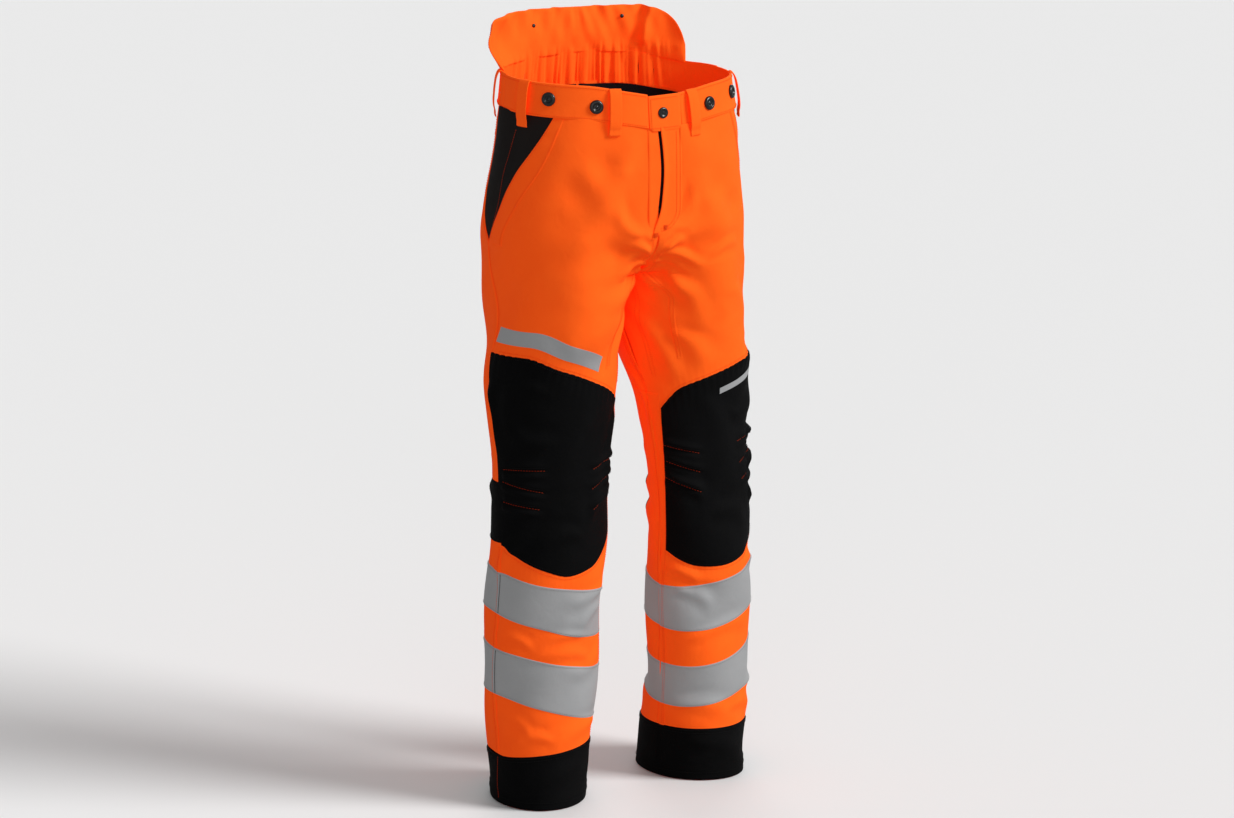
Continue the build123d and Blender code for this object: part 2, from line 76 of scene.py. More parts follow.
LZ = [0, 80, 180, 300, 420, 500, 580, 660, 720, 800]
LX = curve(LZ, [130, 132, 134, 132, 126, 123, 119, 107.5, 99.5, 98])
LY = curve(LZ, [5, -1, -10, -15, -24, -21, -15, 1, 10, 8])
LRX = curve(LZ, [70, 75, 81, 85, 84, 85, 90, 97, 96, 97.4])
LRY = curve(LZ, [87, 79, 69, 69, 65, 66, 74, 99, 118, 127])
TZ = [785, 850, 900, 950, 1000, 1050, 1100, 1150]
TA = curve(TZ, [193, 193, 190, 187, 183, 176.5, 173, 174])
TB = curve(TZ, [128, 130, 128, 125, 120, 114.5, 111, 117])
TY = curve(TZ, [8, 8, 6, 3, 0, 0, 0, 3])
TN = curve(TZ, [2.7, 2.6, 2.5, 2.4, 2.3, 2.2, 2.2, 2.2])


def base(side, s, z):
    """Cloth skin in mm. side is -1 for the wearer's right. s runs 0 at the inner front to 1 at the inner back."""
    e = np.minimum(s, 1 - s)
    m = sm(e / 0.22)
    f = np.clip((z - ZC) / HC, 0, 1)
    wc = np.sqrt(np.clip(1 - (1 - f) ** 2, 0, 1))
    wm = sm((z - 690) / 210)
    w = (1 - m) * wc + m * wm
    ph = math.pi * (2 * s - 0.5)
    zl = np.clip(z, 0, 800)
    psi = math.radians(18) * (1 - sm((zl - 600) / 190))
    lat, fr = LRX(zl) * np.sin(ph), LRY(zl) * np.cos(ph)
    lx = LX(zl) + np.cos(psi) * lat + np.sin(psi) * fr
    ly = LY(zl) + np.sin(psi) * lat - np.cos(psi) * fr
    zt = np.clip(z, 785, 1150)
    t = math.pi * s
    n = TN(zt)
    r = (np.abs(np.sin(t) / TA(zt)) ** n + np.abs(np.cos(t) / TB(zt)) ** n) ** (-1 / n)
    tx, ty = r * np.sin(t), TY(zt) - r * np.cos(t)
    x = (1 - w) * lx + w * tx
    pin = np.where(z > ZC, sm(np.abs(s) / 0.02) * sm(np.abs(1 - s) / 0.02), 1.0)
    x = np.where(z > ZC, x * pin + (1 - pin) * w * tx, x)
    return side * x, (1 - w) * ly + w * ty + Y0


# folds: (s1, z1, s2, z2, width mm, height mm); s is scaled by 500 mm a turn
FOLDS_BOTH = [
    (0.02, 822, 0.13, 838, 6, 3.4), (0.015, 806, 0.15, 790, 6, 3.6), (0.015, 796, 0.10, 760, 6, 4.0), (0.07, 856, 0.16, 905, 9, 2.6),
    (0.06, 470, 0.16, 440, 8, 2.6), (0.30, 640, 0.42, 610, 14, 2.4), (0.26, 560, 0.40, 575, 12, 2.2), (0.16, 600, 0.24, 470, 16, 1.6),
    (0.18, 420, 0.32, 396, 12, 2.2), (0.06, 300, 0.18, 268, 9, 2.2), (0.24, 110, 0.38, 92, 9, 2.0), (0.10, 60, 0.30, 30, 12, 1.6),
    # from the crotch over the front of the thigh
    (0.01, 832, 0.16, 800, 9, 3.2), (0.01, 815, 0.20, 752, 11, 4.2), (0.01, 800, 0.13, 716, 9, 3.4), (0.02, 790, 0.09, 690, 8, 2.6),
    (0.03, 850, 0.30, 905, 16, 2.6), (0.05, 838, 0.34, 848, 15, 2.4),
    # from the crotch over the back of the thigh
    (0.99, 815, 0.80, 745, 12, 4.5), (0.99, 835, 0.76, 800, 12, 3.6), (0.985, 795, 0.88, 700, 10, 3.4), (0.97, 850, 0.70, 880, 18, 2.8),
    # long soft folds down the thigh
    (0.22, 900, 0.27, 700, 22, 2.2), (0.62, 860, 0.66, 660, 24, 2.6), (0.40, 800, 0.38, 690, 16, 1.6),
    # behind the knee
    (0.55, 520, 0.90, 505, 9, 4.2), (0.52, 470, 0.86, 486, 9, 4.6), (0.56, 430, 0.92, 446, 9, 3.8), (0.60, 395, 0.95, 405, 11, 3.2), (0.60, 560, 0.88, 545, 11, 2.6),
    # lower leg
    (0.05, 335, 0.22, 316, 9, 1.6), (0.55, 250, 0.80, 232, 14, 2.6), (0.60, 130, 0.90, 112, 12, 2.4), (0.10, 222, 0.34, 236, 9, 1.5),
    (0.04, 120, 0.26, 96, 11, 2.0), (0.30, 118, 0.44, 134, 9, 1.4),
]
FOLDS_SIDE = {
    -1: [(0.53, 1060, 0.50, 905, 30, 3.6), (0.27, 965, 0.03, 835, 19, 4.0), (0.30, 700, 0.10, 742, 30, 3.0), (0.10, 1000, 0.12, 900, 20, 1.8), (0.36, 1000, 0.43, 930, 12, 1.6), (0.12, 960, 0.20, 868, 18, 2.6), (0.02, 770, 0.10, 640, 10, 3.2), (0.44, 640, 0.46, 540, 10, 2.6),
         (0.03, 590, 0.06, 470, 8, 2.4), (0.30, 250, 0.44, 262, 8, 1.5), (0.14, 262, 0.30, 246, 7, 1.3), (0.05, 226, 0.20, 205, 10, 1.8), (0.36, 400, 0.44, 340, 9, 2.0)],
    1: [(0.02, 818, 0.20, 798, 5, 3.8), (0.04, 800, 0.16, 764, 5, 3.4), (0.22, 812, 0.33, 818, 7, 2.0), (0.04, 862, 0.15, 915, 8, 3.0),
        (0.14, 780, 0.20, 690, 12, 2.4), (0.30, 760, 0.36, 690, 14, 2.0), (0.15, 935, 0.30, 830, 22, 2.8), (0.03, 740, 0.10, 620, 10, 3.4),
        (0.12, 700, 0.18, 640, 12, 2.2), (0.36, 520, 0.44, 500, 8, 4.2), (0.34, 470, 0.44, 486, 7, 3.6), (0.35, 440, 0.43, 425, 7, 2.6),
        (0.02, 330, 0.14, 312, 8, 2.0), (0.30, 330, 0.42, 308, 9, 2.2), (0.94, 640, 0.99, 520, 8, 3.4)],
}
# knee darts: fixed pleats sewn into the patch
DARTS = [(0.422, 512, 0.287, 516), (0.425, 494, 0.288, 483), (0.420, 465, 0.300, 458), (0.034, 522, 0.150, 510), (0.036, 498, 0.150, 481), (0.030, 473, 0.148, 452)]
waves = {sd: [(rng.uniform(0.010, 0.035), rng.uniform(0.006, 0.022), rng.uniform(0, 6.28), rng.uniform(0.3, 0.9)) for _ in range(9)] for sd in (-1, 1)}


def seg(X, Z, f):
    x1, z1, x2, z2 = f[0] * 500, f[1], f[2] * 500, f[3]
    dx, dz = x2 - x1, z2 - z1
    L2 = dx * dx + dz * dz
    u = ((X - x1) * dx + (Z - z1) * dz) / L2
    q = ((X - x1) * -dz + (Z - z1) * dx) / math.sqrt(L2)
    return u, q


def folds(side, s, z):
    X = s * 500
    out = np.zeros(np.broadcast(s, z).shape)
    for f in FOLDS_BOTH + FOLDS_SIDE[side]:
        u, q = seg(X, z, f)
        q = q - 10 * np.sin(np.pi * np.clip(u, 0, 1)) * (1 if (f[1] + f[3]) % 2 < 1 else -1)
        a = sm((u + 0.08) / 0.25) * sm((1.12 - u) / 0.45)
        w = f[4] * (0.8 + 0.5 * np.clip(u, 0, 1))
        out += 1.35 * f[5] * a * (np.exp(-(q / w) ** 2) - 0.55 * np.exp(-((q - 1.7 * w) / w) ** 2) - 0.35 * np.exp(-((q + 1.8 * w) / w) ** 2))
    for f in DARTS:
        u, q = seg(X, z, f)
        a = sm((u + 0.05) / 0.15) * sm((1.15 - u) / 0.4)
        out += a * (3.6 * np.exp(-((q - 7) / 5.0) ** 2) - 2.6 * np.exp(-(q / 2.2) ** 2) + 2.0 * np.exp(-((q + 7) / 6.0) ** 2))
    for kx, kz, p, a in waves[side]:
        out += a * np.sin(X * kx * 2 + z * kz * 2 + p)
    e = np.minimum(s, 1 - s)
    return out * np.where(z > ZC - 5, sm(e / 0.05), 1.0) * np.where(z < 22, 0.4, 1.0) * sm((1075 - z) / 60 + 0.15)


def skin(side, s, z, d, rough=True):
    """Point on the cloth at offset d (mm)."""
    h = 0.002
    x, y = base(side, s, z)
    xa, ya = base(side, s - h, z)
    xb, yb = base(side, s + h, z)
    tx, ty = xb - xa, yb - ya
    L = np.hypot(tx, ty) + 1e-9
    nx, ny = side * ty / L, -side * tx / L
    k = d + (folds(side, s, z) if rough else 0.0)
    return np.stack([x + nx * k, y + ny * k, z + 0 * x], -1)


# ---------------------------------------------------------------- materials
def nodes_of(name):
    m = bpy.data.materials.new(name)
    m.use_nodes = True
    nt = m.node_tree
    nt.nodes.clear()
    out = nt.nodes.new("ShaderNodeOutputMaterial")
    p = nt.nodes.new("ShaderNodeBsdfPrincipled")
    nt.links.new(p.outputs[0], out.inputs[0])
    return m, nt, p


def cloth(name, colour, dark, rough=0.8, pitch=0.9, bump=0.35, sheen=0.25, glow=0.0, mottle=0.5, metal=0.0, ribs=False):
    m, nt, p = nodes_of(name)
    N, Lk = nt.nodes.new, nt.links.new
    uv = N("ShaderNodeUVMap")
    uv.uv_map = "UVMap"
    sp = N("ShaderNodeSeparateXYZ")
    Lk(uv.outputs[0], sp.inputs[0])

    def wave(sock, factor, other=None, k=0.0):
        a = N("ShaderNodeMath"); a.operation = "MULTIPLY"; a.inputs[1].default_value = factor
        Lk(sock, a.inputs[0])
        last = a
        if other is not None:
            b = N("ShaderNodeMath"); b.operation = "MULTIPLY_ADD"; b.inputs[1].default_value = k
            Lk(other, b.inputs[0]); Lk(a.outputs[0], b.inputs[2])
            last = b
        c = N("ShaderNodeMath"); c.operation = "SINE"
        Lk(last.outputs[0], c.inputs[0])
        return c.outputs[0]
    f = 2 * math.pi / pitch
    w1 = wave(sp.outputs[0], f, sp.outputs[1], f * (0.0 if ribs else 0.55))
    w2 = wave(sp.outputs[1], f * (0.15 if ribs else 1.0))
    mul = N("ShaderNodeMath"); mul.operation = "MULTIPLY"
    Lk(w1, mul.inputs[0]); Lk(w2, mul.inputs[1])
    add = N("ShaderNodeMath"); add.operation = "ADD"
    Lk(mul.outputs[0], add.inputs[0]); Lk(w1, add.inputs[1])
    tc = N("ShaderNodeTexCoord")
    n1 = N("ShaderNodeTexNoise"); n1.inputs["Scale"].default_value = 34; n1.inputs["Detail"].default_value = 5
    n2 = N("ShaderNodeTexNoise"); n2.inputs["Scale"].default_value = 420; n2.inputs["Detail"].default_value = 3
    n3 = N("ShaderNodeTexNoise"); n3.inputs["Scale"].default_value = 9; n3.inputs["Detail"].default_value = 3
    for n in (n1, n2, n3):
        Lk(tc.outputs["Object"], n.inputs["Vector"])
    mixf = N("ShaderNodeMath"); mixf.operation = "MULTIPLY_ADD"; mixf.inputs[1].default_value = 0.6
    Lk(n1.outputs["Fac"], mixf.inputs[0])
    half = N("ShaderNodeMath"); half.operation = "MULTIPLY"; half.inputs[1].default_value = 0.4
    Lk(n3.outputs["Fac"], half.inputs[0]); Lk(half.outputs[0], mixf.inputs[2])
    ramp = N("ShaderNodeMapRange")
    ramp.inputs["From Min"].default_value, ramp.inputs["From Max"].default_value = 0.32, 0.68
    ramp.inputs["To Min"].default_value, ramp.inputs["To Max"].default_value = 0.0, mottle
    Lk(mixf.outputs[0], ramp.inputs["Value"])
    weave = N("ShaderNodeMapRange")
    weave.inputs["From Min"].default_value, weave.inputs["From Max"].default_value = -1.6, 1.6
    weave.inputs["To Min"].default_value, weave.inputs["To Max"].default_value = 0.30, 0.0
    Lk(add.outputs[0], weave.inputs["Value"])
    tot = N("ShaderNodeMath"); tot.operation = "ADD"; tot.use_clamp = True
    Lk(ramp.outputs[0], tot.inputs[0]); Lk(weave.outputs[0], tot.inputs[1])
    mix = N("ShaderNodeMix"); mix.data_type = "RGBA"
    mix.inputs["A"].default_value = (*colour, 1); mix.inputs["B"].default_value = (*dark, 1)
    Lk(tot.outputs[0], mix.inputs["Factor"])
    Lk(mix.outputs["Result"], p.inputs["Base Color"])
    rr = N("ShaderNodeMapRange")
    rr.inputs["To Min"].default_value, rr.inputs["To Max"].default_value = rough - 0.08, rough + 0.08
    Lk(n2.outputs["Fac"], rr.inputs["Value"]); Lk(rr.outputs[0], p.inputs["Roughness"])
    h = N("ShaderNodeMath"); h.operation = "MULTIPLY_ADD"; h.inputs[1].default_value = 0.7
    Lk(n2.outputs["Fac"], h.inputs[0]); Lk(add.outputs[0], h.inputs[2])
    b1 = N("ShaderNodeBump"); b1.inputs["Strength"].default_value = bump; b1.inputs["Distance"].default_value = 0.0002
    Lk(h.outputs[0], b1.inputs["Height"])
    b2 = N("ShaderNodeBump"); b2.inputs["Strength"].default_value = 0.35; b2.inputs["Distance"].default_value = 0.0025
    n4 = N("ShaderNodeTexNoise"); n4.inputs["Scale"].default_value = 42; n4.inputs["Detail"].default_value = 3; n4.inputs["Distortion"].default_value = 0.6
    Lk(tc.outputs["Object"], n4.inputs["Vector"])
    Lk(n4.outputs["Fac"], b2.inputs["Height"]); Lk(b1.outputs[0], b2.inputs["Normal"])
    Lk(b2.outputs[0], p.inputs["Normal"])
    p.inputs["Sheen Weight"].default_value = sheen
    p.inputs["Sheen Roughness"].default_value = 0.5
    p.inputs["Sheen Tint"].default_value = (*[min(1, c * 1.0 + 0.05) for c in colour], 1)
    p.inputs["Specular IOR Level"].default_value = 0.07
    p.inputs["Metallic"].default_value = metal
    # glow is painted light: an emission that makes the cloth glow though it is no lamp; on reddish cloth it is a
    # constant red that keeps the red bright in shade, otherwise it is the cloth's own colour
    if glow:
        if colour[0] > 3 * colour[1]:
            p.inputs["Emission Color"].default_value = (1.0, 0.02, 0.0015, 1)
        else:
            Lk(mix.outputs["Result"], p.inputs["Emission Color"])
        p.inputs["Emission Strength"].default_value = glow
    return m


def solid(name, colour, rough, metal=0.0, bump=0.08, scale=700, coat=0.0):
    m, nt, p = nodes_of(name)
    N, Lk = nt.nodes.new, nt.links.new
    tc = N("ShaderNodeTexCoord")
    n = N("ShaderNodeTexNoise"); n.inputs["Scale"].default_value = scale; n.inputs["Detail"].default_value = 4
    n2 = N("ShaderNodeTexNoise"); n2.inputs["Scale"].default_value = scale / 12
    Lk(tc.outputs["Object"], n.inputs["Vector"]); Lk(tc.outputs["Object"], n2.inputs["Vector"])
    mix = N("ShaderNodeMix"); mix.data_type = "RGBA"
    mix.inputs["A"].default_value = (*colour, 1); mix.inputs["B"].default_value = (*[min(1, c * 1.6 + 0.001) for c in colour], 1)
    Lk(n2.outputs["Fac"], mix.inputs["Factor"]); Lk(mix.outputs["Result"], p.inputs["Base Color"])
    rr = N("ShaderNodeMapRange"); rr.inputs["To Min"].default_value, rr.inputs["To Max"].default_value = max(0.05, rough - 0.1), rough + 0.12
    Lk(n.outputs["Fac"], rr.inputs["Value"]); Lk(rr.outputs[0], p.inputs["Roughness"])
    b = N("ShaderNodeBump"); b.inputs["Strength"].default_value = bump; b.inputs["Distance"].default_value = 0.0003
    Lk(n.outputs["Fac"], b.inputs["Height"]); Lk(b.outputs[0], p.inputs["Normal"])
    p.inputs["Metallic"].default_value = metal
    p.inputs["Coat Weight"].default_value = coat
    return m


# the glow values below are painted light: the orange cloth, the darker orange, the reflective tape and the orange and
# rust threads glow without a lamp
ORANGE = cloth("orange_twill", (0.93, 0.150, 0.0115), (0.86, 0.118, 0.0085), rough=0.85, glow=0.27, sheen=0.02, mottle=0.45)
# darker copy of the orange for the pieces under the tab, behind the fly and in the crotch: painted shade
ORANGE_SHADED = cloth("orange_inside", (0.80, 0.105, 0.008), (0.70, 0.078, 0.006), rough=0.9, glow=0.25, sheen=0.02)
BLACK = cloth("black_stretch", (0.0026, 0.0026, 0.0029), (0.0010, 0.0010, 0.0011), rough=0.78, pitch=1.1, bump=0.45, sheen=0.006, mottle=0.6)
POCKET = cloth("charcoal_facing", (0.020, 0.0165, 0.0155), (0.012, 0.0100, 0.0095), rough=0.85, pitch=1.0, sheen=0.03)
SILVER = cloth("reflective_tape", (0.300, 0.302, 0.306), (0.250, 0.253, 0.258), rough=0.5, pitch=0.7, bump=0.12, sheen=0.0, metal=0.1, mottle=0.35, glow=0.22)
KNIT = cloth("saw_insert_knit", (0.78, 0.75, 0.66), (0.58, 0.55, 0.46), rough=0.9, pitch=2.4, bump=0.9, sheen=0.1)
ELASTIC = cloth("elastic_web", (0.02, 0.02, 0.021), (0.008, 0.008, 0.008), rough=0.85, pitch=1.6, bump=0.8, ribs=True)
LINING = cloth("mesh_lining", (0.010, 0.011, 0.014), (0.004, 0.005, 0.006), rough=0.85, pitch=2.0, bump=0.9, sheen=0.02)
THREAD_O = cloth("orange_thread", (0.72, 0.085, 0.007), (0.55, 0.055, 0.004), rough=0.6, pitch=0.4, sheen=0.0, glow=0.15)
THREAD_R = cloth("rust_thread", (0.36, 0.045, 0.007), (0.22, 0.025, 0.004), rough=0.6, pitch=0.4, sheen=0.0, glow=0.1)
THREAD_K = cloth("black_thread", (0.010, 0.010, 0.011), (0.005, 0.005, 0.005), rough=0.6, pitch=0.4, sheen=0.0)
THREAD_G = cloth("grey_thread", (0.36, 0.36, 0.36), (0.24, 0.24, 0.24), rough=0.6, pitch=0.4, sheen=0.0)
BUTTON = solid("black_enamel", (0.002, 0.002, 0.0024), 0.30, bump=0.04, coat=0.1)
BRASS = solid("zip_brass", (0.55, 0.38, 0.16), 0.35, metal=1.0)
STEEL = solid("nickel", (0.55, 0.55, 0.56), 0.3, metal=1.0)
TAPE = cloth("zip_tape_cloth", (0.70, 0.085, 0.008), (0.5, 0.05, 0.004), rough=0.85, pitch=1.2, bump=0.6, ribs=True)


# ---------------------------------------------------------------- mesh making
def mesh(name, V, faces, mat, uv=None, sharp=None, smooth=True):
    me = bpy.data.meshes.new(name)
    me.from_pydata((np.asarray(V) / 1000.0).tolist(), [], faces.tolist() if isinstance(faces, np.ndarray) else faces)
    me.polygons.foreach_set("use_smooth", np.full(len(me.polygons), smooth))
    if uv is None:
        uv = np.asarray(V)[:, :2]
    layer = me.uv_layers.new(name="UVMap")
    li = np.zeros(len(me.loops), np.int32)
    me.loops.foreach_get("vertex_index", li)
    layer.data.foreach_set("uv", np.asarray(uv, float)[li].astype(np.float32).ravel())
    if sharp is not None:
        ev = np.zeros(len(me.edges) * 2, np.int32)
        me.edges.foreach_get("vertices", ev)
        ev = ev.reshape(-1, 2)
        att = me.attributes.new("sharp_edge", "BOOLEAN", "EDGE")
        att.data.foreach_set("value", (sharp[ev[:, 0]] & sharp[ev[:, 1]]))
    me.update()
    me.materials.append(mat)
    o = bpy.data.objects.new(name, me)
    bpy.context.scene.collection.objects.link(o)
    return o


def spread(n, edge=True):
    u = np.linspace(0, 1, n + 1)
    return u


def patch(name, mat, side, s0, s1, zb, zt, d=0.0, th=1.5, step=3.6, ring=False, rough=True, extra=None, lip=0.9, crease=1.2, vlist=None):
    """Closed shell over the skin between two seam lines. s0, s1 are functions of height, zb, zt of s."""
    mid_s = 0.5 * (float(s0(700.0)) + float(s1(700.0))) if not ring else 0.5
    zlo, zhi = float(np.min(zb(np.linspace(0, 1, 21)))), float(np.max(zt(np.linspace(0, 1, 21))))
    width = 520 if ring else 560 * abs(float(s1((zlo + zhi) / 2)) - float(s0((zlo + zhi) / 2)))
    nu = max(6, int(width / step)); nv = max(4, int((zhi - zlo) / step))
    eu, ev = 1.0 / max(width, 1), 1.0 / max(zhi - zlo, 1)
    if ring:
        u = np.linspace(0, 1, nu, endpoint=False)
    else:
        u = np.unique(np.concatenate([[0, 0.7 * eu, 2.0 * eu], np.linspace(4.5 * eu, 1 - 4.5 * eu, nu), [1 - 2.0 * eu, 1 - 0.7 * eu, 1]]))
    v = np.unique(np.concatenate([[0, 0.7 * ev, 2.0 * ev], np.linspace(4.5 * ev, 1 - 4.5 * ev, nv), [1 - 2.0 * ev, 1 - 0.7 * ev, 1]]))
    if zlo < ZC < zhi:   # more rows where the crotch turns
        vc0, vc1 = (ZC - zlo) / (zhi - zlo), (ZC + HC - zlo) / (zhi - zlo)
        arc = vc0 + (vc1 - vc0) * (1 - np.cos(np.linspace(0, math.pi / 2, 30)))
        v = np.unique(np.concatenate([v[(v < vc0 - 0.002) | (v > vc1 + 0.002)], arc, [vc0 - 0.001]]))
    U, V = np.meshgrid(u, v)
    if zlo < ZC < zhi:
        zc_lo, zc_hi = vc0, vc1
        S = U.copy()
        for _ in range(3):
            Zb, Zt = zb(S), zt(S)
            low = Zb + (ZC - Zb) * (V / zc_lo)
            midz = ZC + HC * (V - zc_lo) / (zc_hi - zc_lo)
            top = ZC + HC + (Zt - ZC - HC) * (V - zc_hi) / (1 - zc_hi)
            Z = np.where(V < zc_lo, low, np.where(V < zc_hi, midz, top))
            S = s0(Z) + (s1(Z) - s0(Z)) * U
    else:
        S = U.copy() if ring else (s0(np.full_like(U, (zlo + zhi) / 2)) * (1 - U) + U * s1(np.full_like(U, (zlo + zhi) / 2)))
        for _ in range(3):
            Z = zb(S) + (zt(S) - zb(S)) * V
            if not ring:
                S = s0(Z) + (s1(Z) - s0(Z)) * U
    # rounded edges
    du = np.full_like(U, 99.0) if ring else np.minimum(U, 1 - U) * width
    dv = np.minimum(V, 1 - V) * (zhi - zlo)
    de = np.minimum(du, dv)
    round_in = lip * (1 - np.sqrt(np.clip(1 - (1 - np.clip(de / crease, 0, 1)) ** 2, 0, 1)))
    ex = 0.0 if extra is None else extra(S, Z)
    outer = skin(side, S, Z, d + ex - round_in, rough)
    inner = skin(side, S, Z, d + ex - th, rough)
    n = U.size
    rows, cols = U.shape
    idx = np.arange(n).reshape(rows, cols)
    if ring:
        a, b = idx[:-1, :], np.roll(idx, -1, 1)[:-1, :]
        c, e = np.roll(idx, -1, 1)[1:, :], idx[1:, :]
    else:
        a, b, c, e = idx[:-1, :-1], idx[:-1, 1:], idx[1:, 1:], idx[1:, :-1]
    q = np.stack([a, b, c, e], -1).reshape(-1, 4)
    if side > 0:
        q_out, q_in = q, q[:, ::-1] + n
    else:
        q_out, q_in = q[:, ::-1], q + n
    rims = []

    def rim(line, flip):
        r = np.stack([line[:-1], line[1:], line[1:] + n, line[:-1] + n], -1)
        rims.append(r[:, ::-1] if flip else r)
    pos = side > 0
    bot, top = idx[0, :], idx[-1, :]
    if ring:
        bot, top = np.append(bot, bot[0]), np.append(top, top[0])
    rim(bot, pos); rim(top, not pos)
    if not ring:
        rim(idx[:, 0], not pos); rim(idx[:, -1], pos)
    F = np.concatenate([q_out, q_in] + rims)
    co = np.concatenate([outer.reshape(-1, 3), inner.reshape(-1, 3)])
    uv = np.stack([S * 520, Z], -1).reshape(-1, 2)
    edge = np.zeros((rows, cols), bool)
    edge[0, :] = edge[-1, :] = True
    if not ring:
        edge[:, 0] = edge[:, -1] = True
    sharp = np.concatenate([edge.ravel(), edge.ravel()])
    return mesh(name, co, F, mat, np.concatenate([uv, uv]), sharp)


def const(c):
    return lambda q: np.full(np.shape(q), float(c))


def phi(f):
    """A seam given over the local angle in degrees, as a function of s."""
    return lambda s: f(np.asarray(s) * 360 - 90)


def cosine(a, b, p):
    return lambda s: a + b * np.cos(np.radians(np.asarray(s) * 360 - 90 - p))


stitch_sets = {}


def stitches(key, side, pts, d=0.5, pitch=3.6, length=2.5, r=0.34, rough=True, extra=None):
    """Thread dashes along a line of (s, z) points."""
    pts = np.array(pts, float)
    fine_t = np.linspace(0, 1, 60 * (len(pts) - 1) + 1)
    tt = np.linspace(0, 1, len(pts))
    s, z = np.interp(fine_t, tt, pts[:, 0]), np.interp(fine_t, tt, pts[:, 1])
    ex = 0.0 if extra is None else extra(s, z)
    P = skin(side, s, z, d + ex, rough)
    Q = skin(side, s, z, d + ex + 1.0, rough)
    step = np.linalg.norm(np.diff(P, axis=0), axis=1)
    L = np.concatenate([[0], np.cumsum(step)])
    starts = np.arange(pitch * 0.3, L[-1] - length, pitch)
    if not len(starts):
        return
    A = np.stack([np.interp(starts, L, P[:, k]) for k in range(3)], -1)
    B = np.stack([np.interp(starts + length, L, P[:, k]) for k in range(3)], -1)
    N = np.stack([np.interp(starts, L, (Q - P)[:, k]) for k in range(3)], -1)
    N /= np.linalg.norm(N, axis=1)[:, None]
    T = (B - A) / np.linalg.norm(B - A, axis=1)[:, None]
    W = np.cross(T, N)
    M = (A + B) / 2 + N * 0.15
    rings = []
    for c, k in ((A - N * 0.3, 0.55), (A * 0.7 + B * 0.3 + N * 0.12, 1.0), (A * 0.3 + B * 0.7 + N * 0.12, 1.0), (B - N * 0.3, 0.55)):
        for ang in (0, 60, 120, 180, 240, 300):
            rings.append(c + r * k * (W * math.cos(math.radians(ang)) + N * math.sin(math.radians(ang))))
    R = np.stack(rings, 1)      # n, 24, 3
    fs = []
    for k in range(3):
        for j in range(6):
            fs.append([k * 6 + j, k * 6 + (j + 1) % 6, k * 6 + 6 + (j + 1) % 6, k * 6 + 6 + j])
    caps = [[5, 4, 3, 2], [5, 2, 1, 0], [18, 19, 20, 21], [18, 21, 22, 23]]
    f = np.array(fs + caps)
    stitch_sets.setdefault(key, []).append((R, f))


def flush_stitches():
    made = {}
    for key, items in stitch_sets.items():
        V, F, base_i = [], [], 0
        for R, f in items:
            n = len(R)
            V.append(R.reshape(-1, 3))
            F.append((f[None] + (np.arange(n) * 24)[:, None, None]).reshape(-1, 4) + base_i)
            base_i += n * 24
        name, mat = key
        made[name] = mesh(name, np.concatenate(V), np.concatenate(F), mat)
    return made


def lathe(profile, centre, normal, seg_n=48):
    """Vertices and faces of a turned piece. profile is (radius, height) pairs."""
    n = np.array(normal, float); n /= np.linalg.norm(n)
    a = np.cross(n, [0, 0, 1.0]); a /= np.linalg.norm(a); b = np.cross(n, a)
    V, F = [], []
    for r, h in profile:
        for k in range(seg_n):
            t = 2 * math.pi * k / seg_n
            V.append(np.array(centre) + n * h + (a * math.cos(t) + b * math.sin(t)) * max(r, 0.01))
    for i in range(len(profile) - 1):
        for k in range(seg_n):
            k2 = (k + 1) % seg_n
            F.append([i * seg_n + k, i * seg_n + k2, (i + 1) * seg_n + k2, (i + 1) * seg_n + k])
    return V, F


def joined(name, mat, parts):
    V, F, base_i = [], [], 0
    for v, f in parts:
        V += list(v)
        F += [[i + base_i for i in q] for q in f]
        base_i += len(v)
    return mesh(name, np.array(V), F, mat)


SIDES = {-1: "right", 1: "left"}


def on_hip(o, side):
    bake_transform(o)


def on_knee(o, side):
    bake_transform(o)


def waist_y(side, s):
    return base(side, s, np.full(np.shape(s), 1050.0))[1]


W_TOP = {-1: curve([0, 0.12, 0.27, 0.42, 0.55, 0.75, 1.0], [1054, 1064, 1076, 1080, 1081, 1081, 1081]),
         1: curve([0, 0.10, 0.28, 0.46, 0.60, 0.70, 0.80, 1.0], [1054, 1055, 1060, 1058, 1058, 1066, 1075, 1081])}


def w_top(side):
    return lambda s: W_TOP[side](s)


def w_low(side):
    return lambda s: w_top(side)(s) - 48


pocket_line = curve([833, 858, 899, 945, 991, 1024, 1050], [0.538, 0.517, 0.483, 0.436, 0.387, 0.355, 0.332])
seam_low = curve([0, 98, 316, 508, 640, 700, 760, 820, 833], [0.43, 0.428, 0.413, 0.447, 0.462, 0.479, 0.502, 0.531, 0.538])


def front_edge(z):
    z = np.asarray(z, float)
    return np.where(z < 833, seam_low(z), pocket_line(z))


pocket_back = curve([800, 833, 850, 880, 1040], [0.538, 0.538, 0.566, 0.588, 0.600])


def back_edge(z):
    z = np.asarray(z, float)
    return np.where(z < 833, seam_low(z), pocket_back(z))


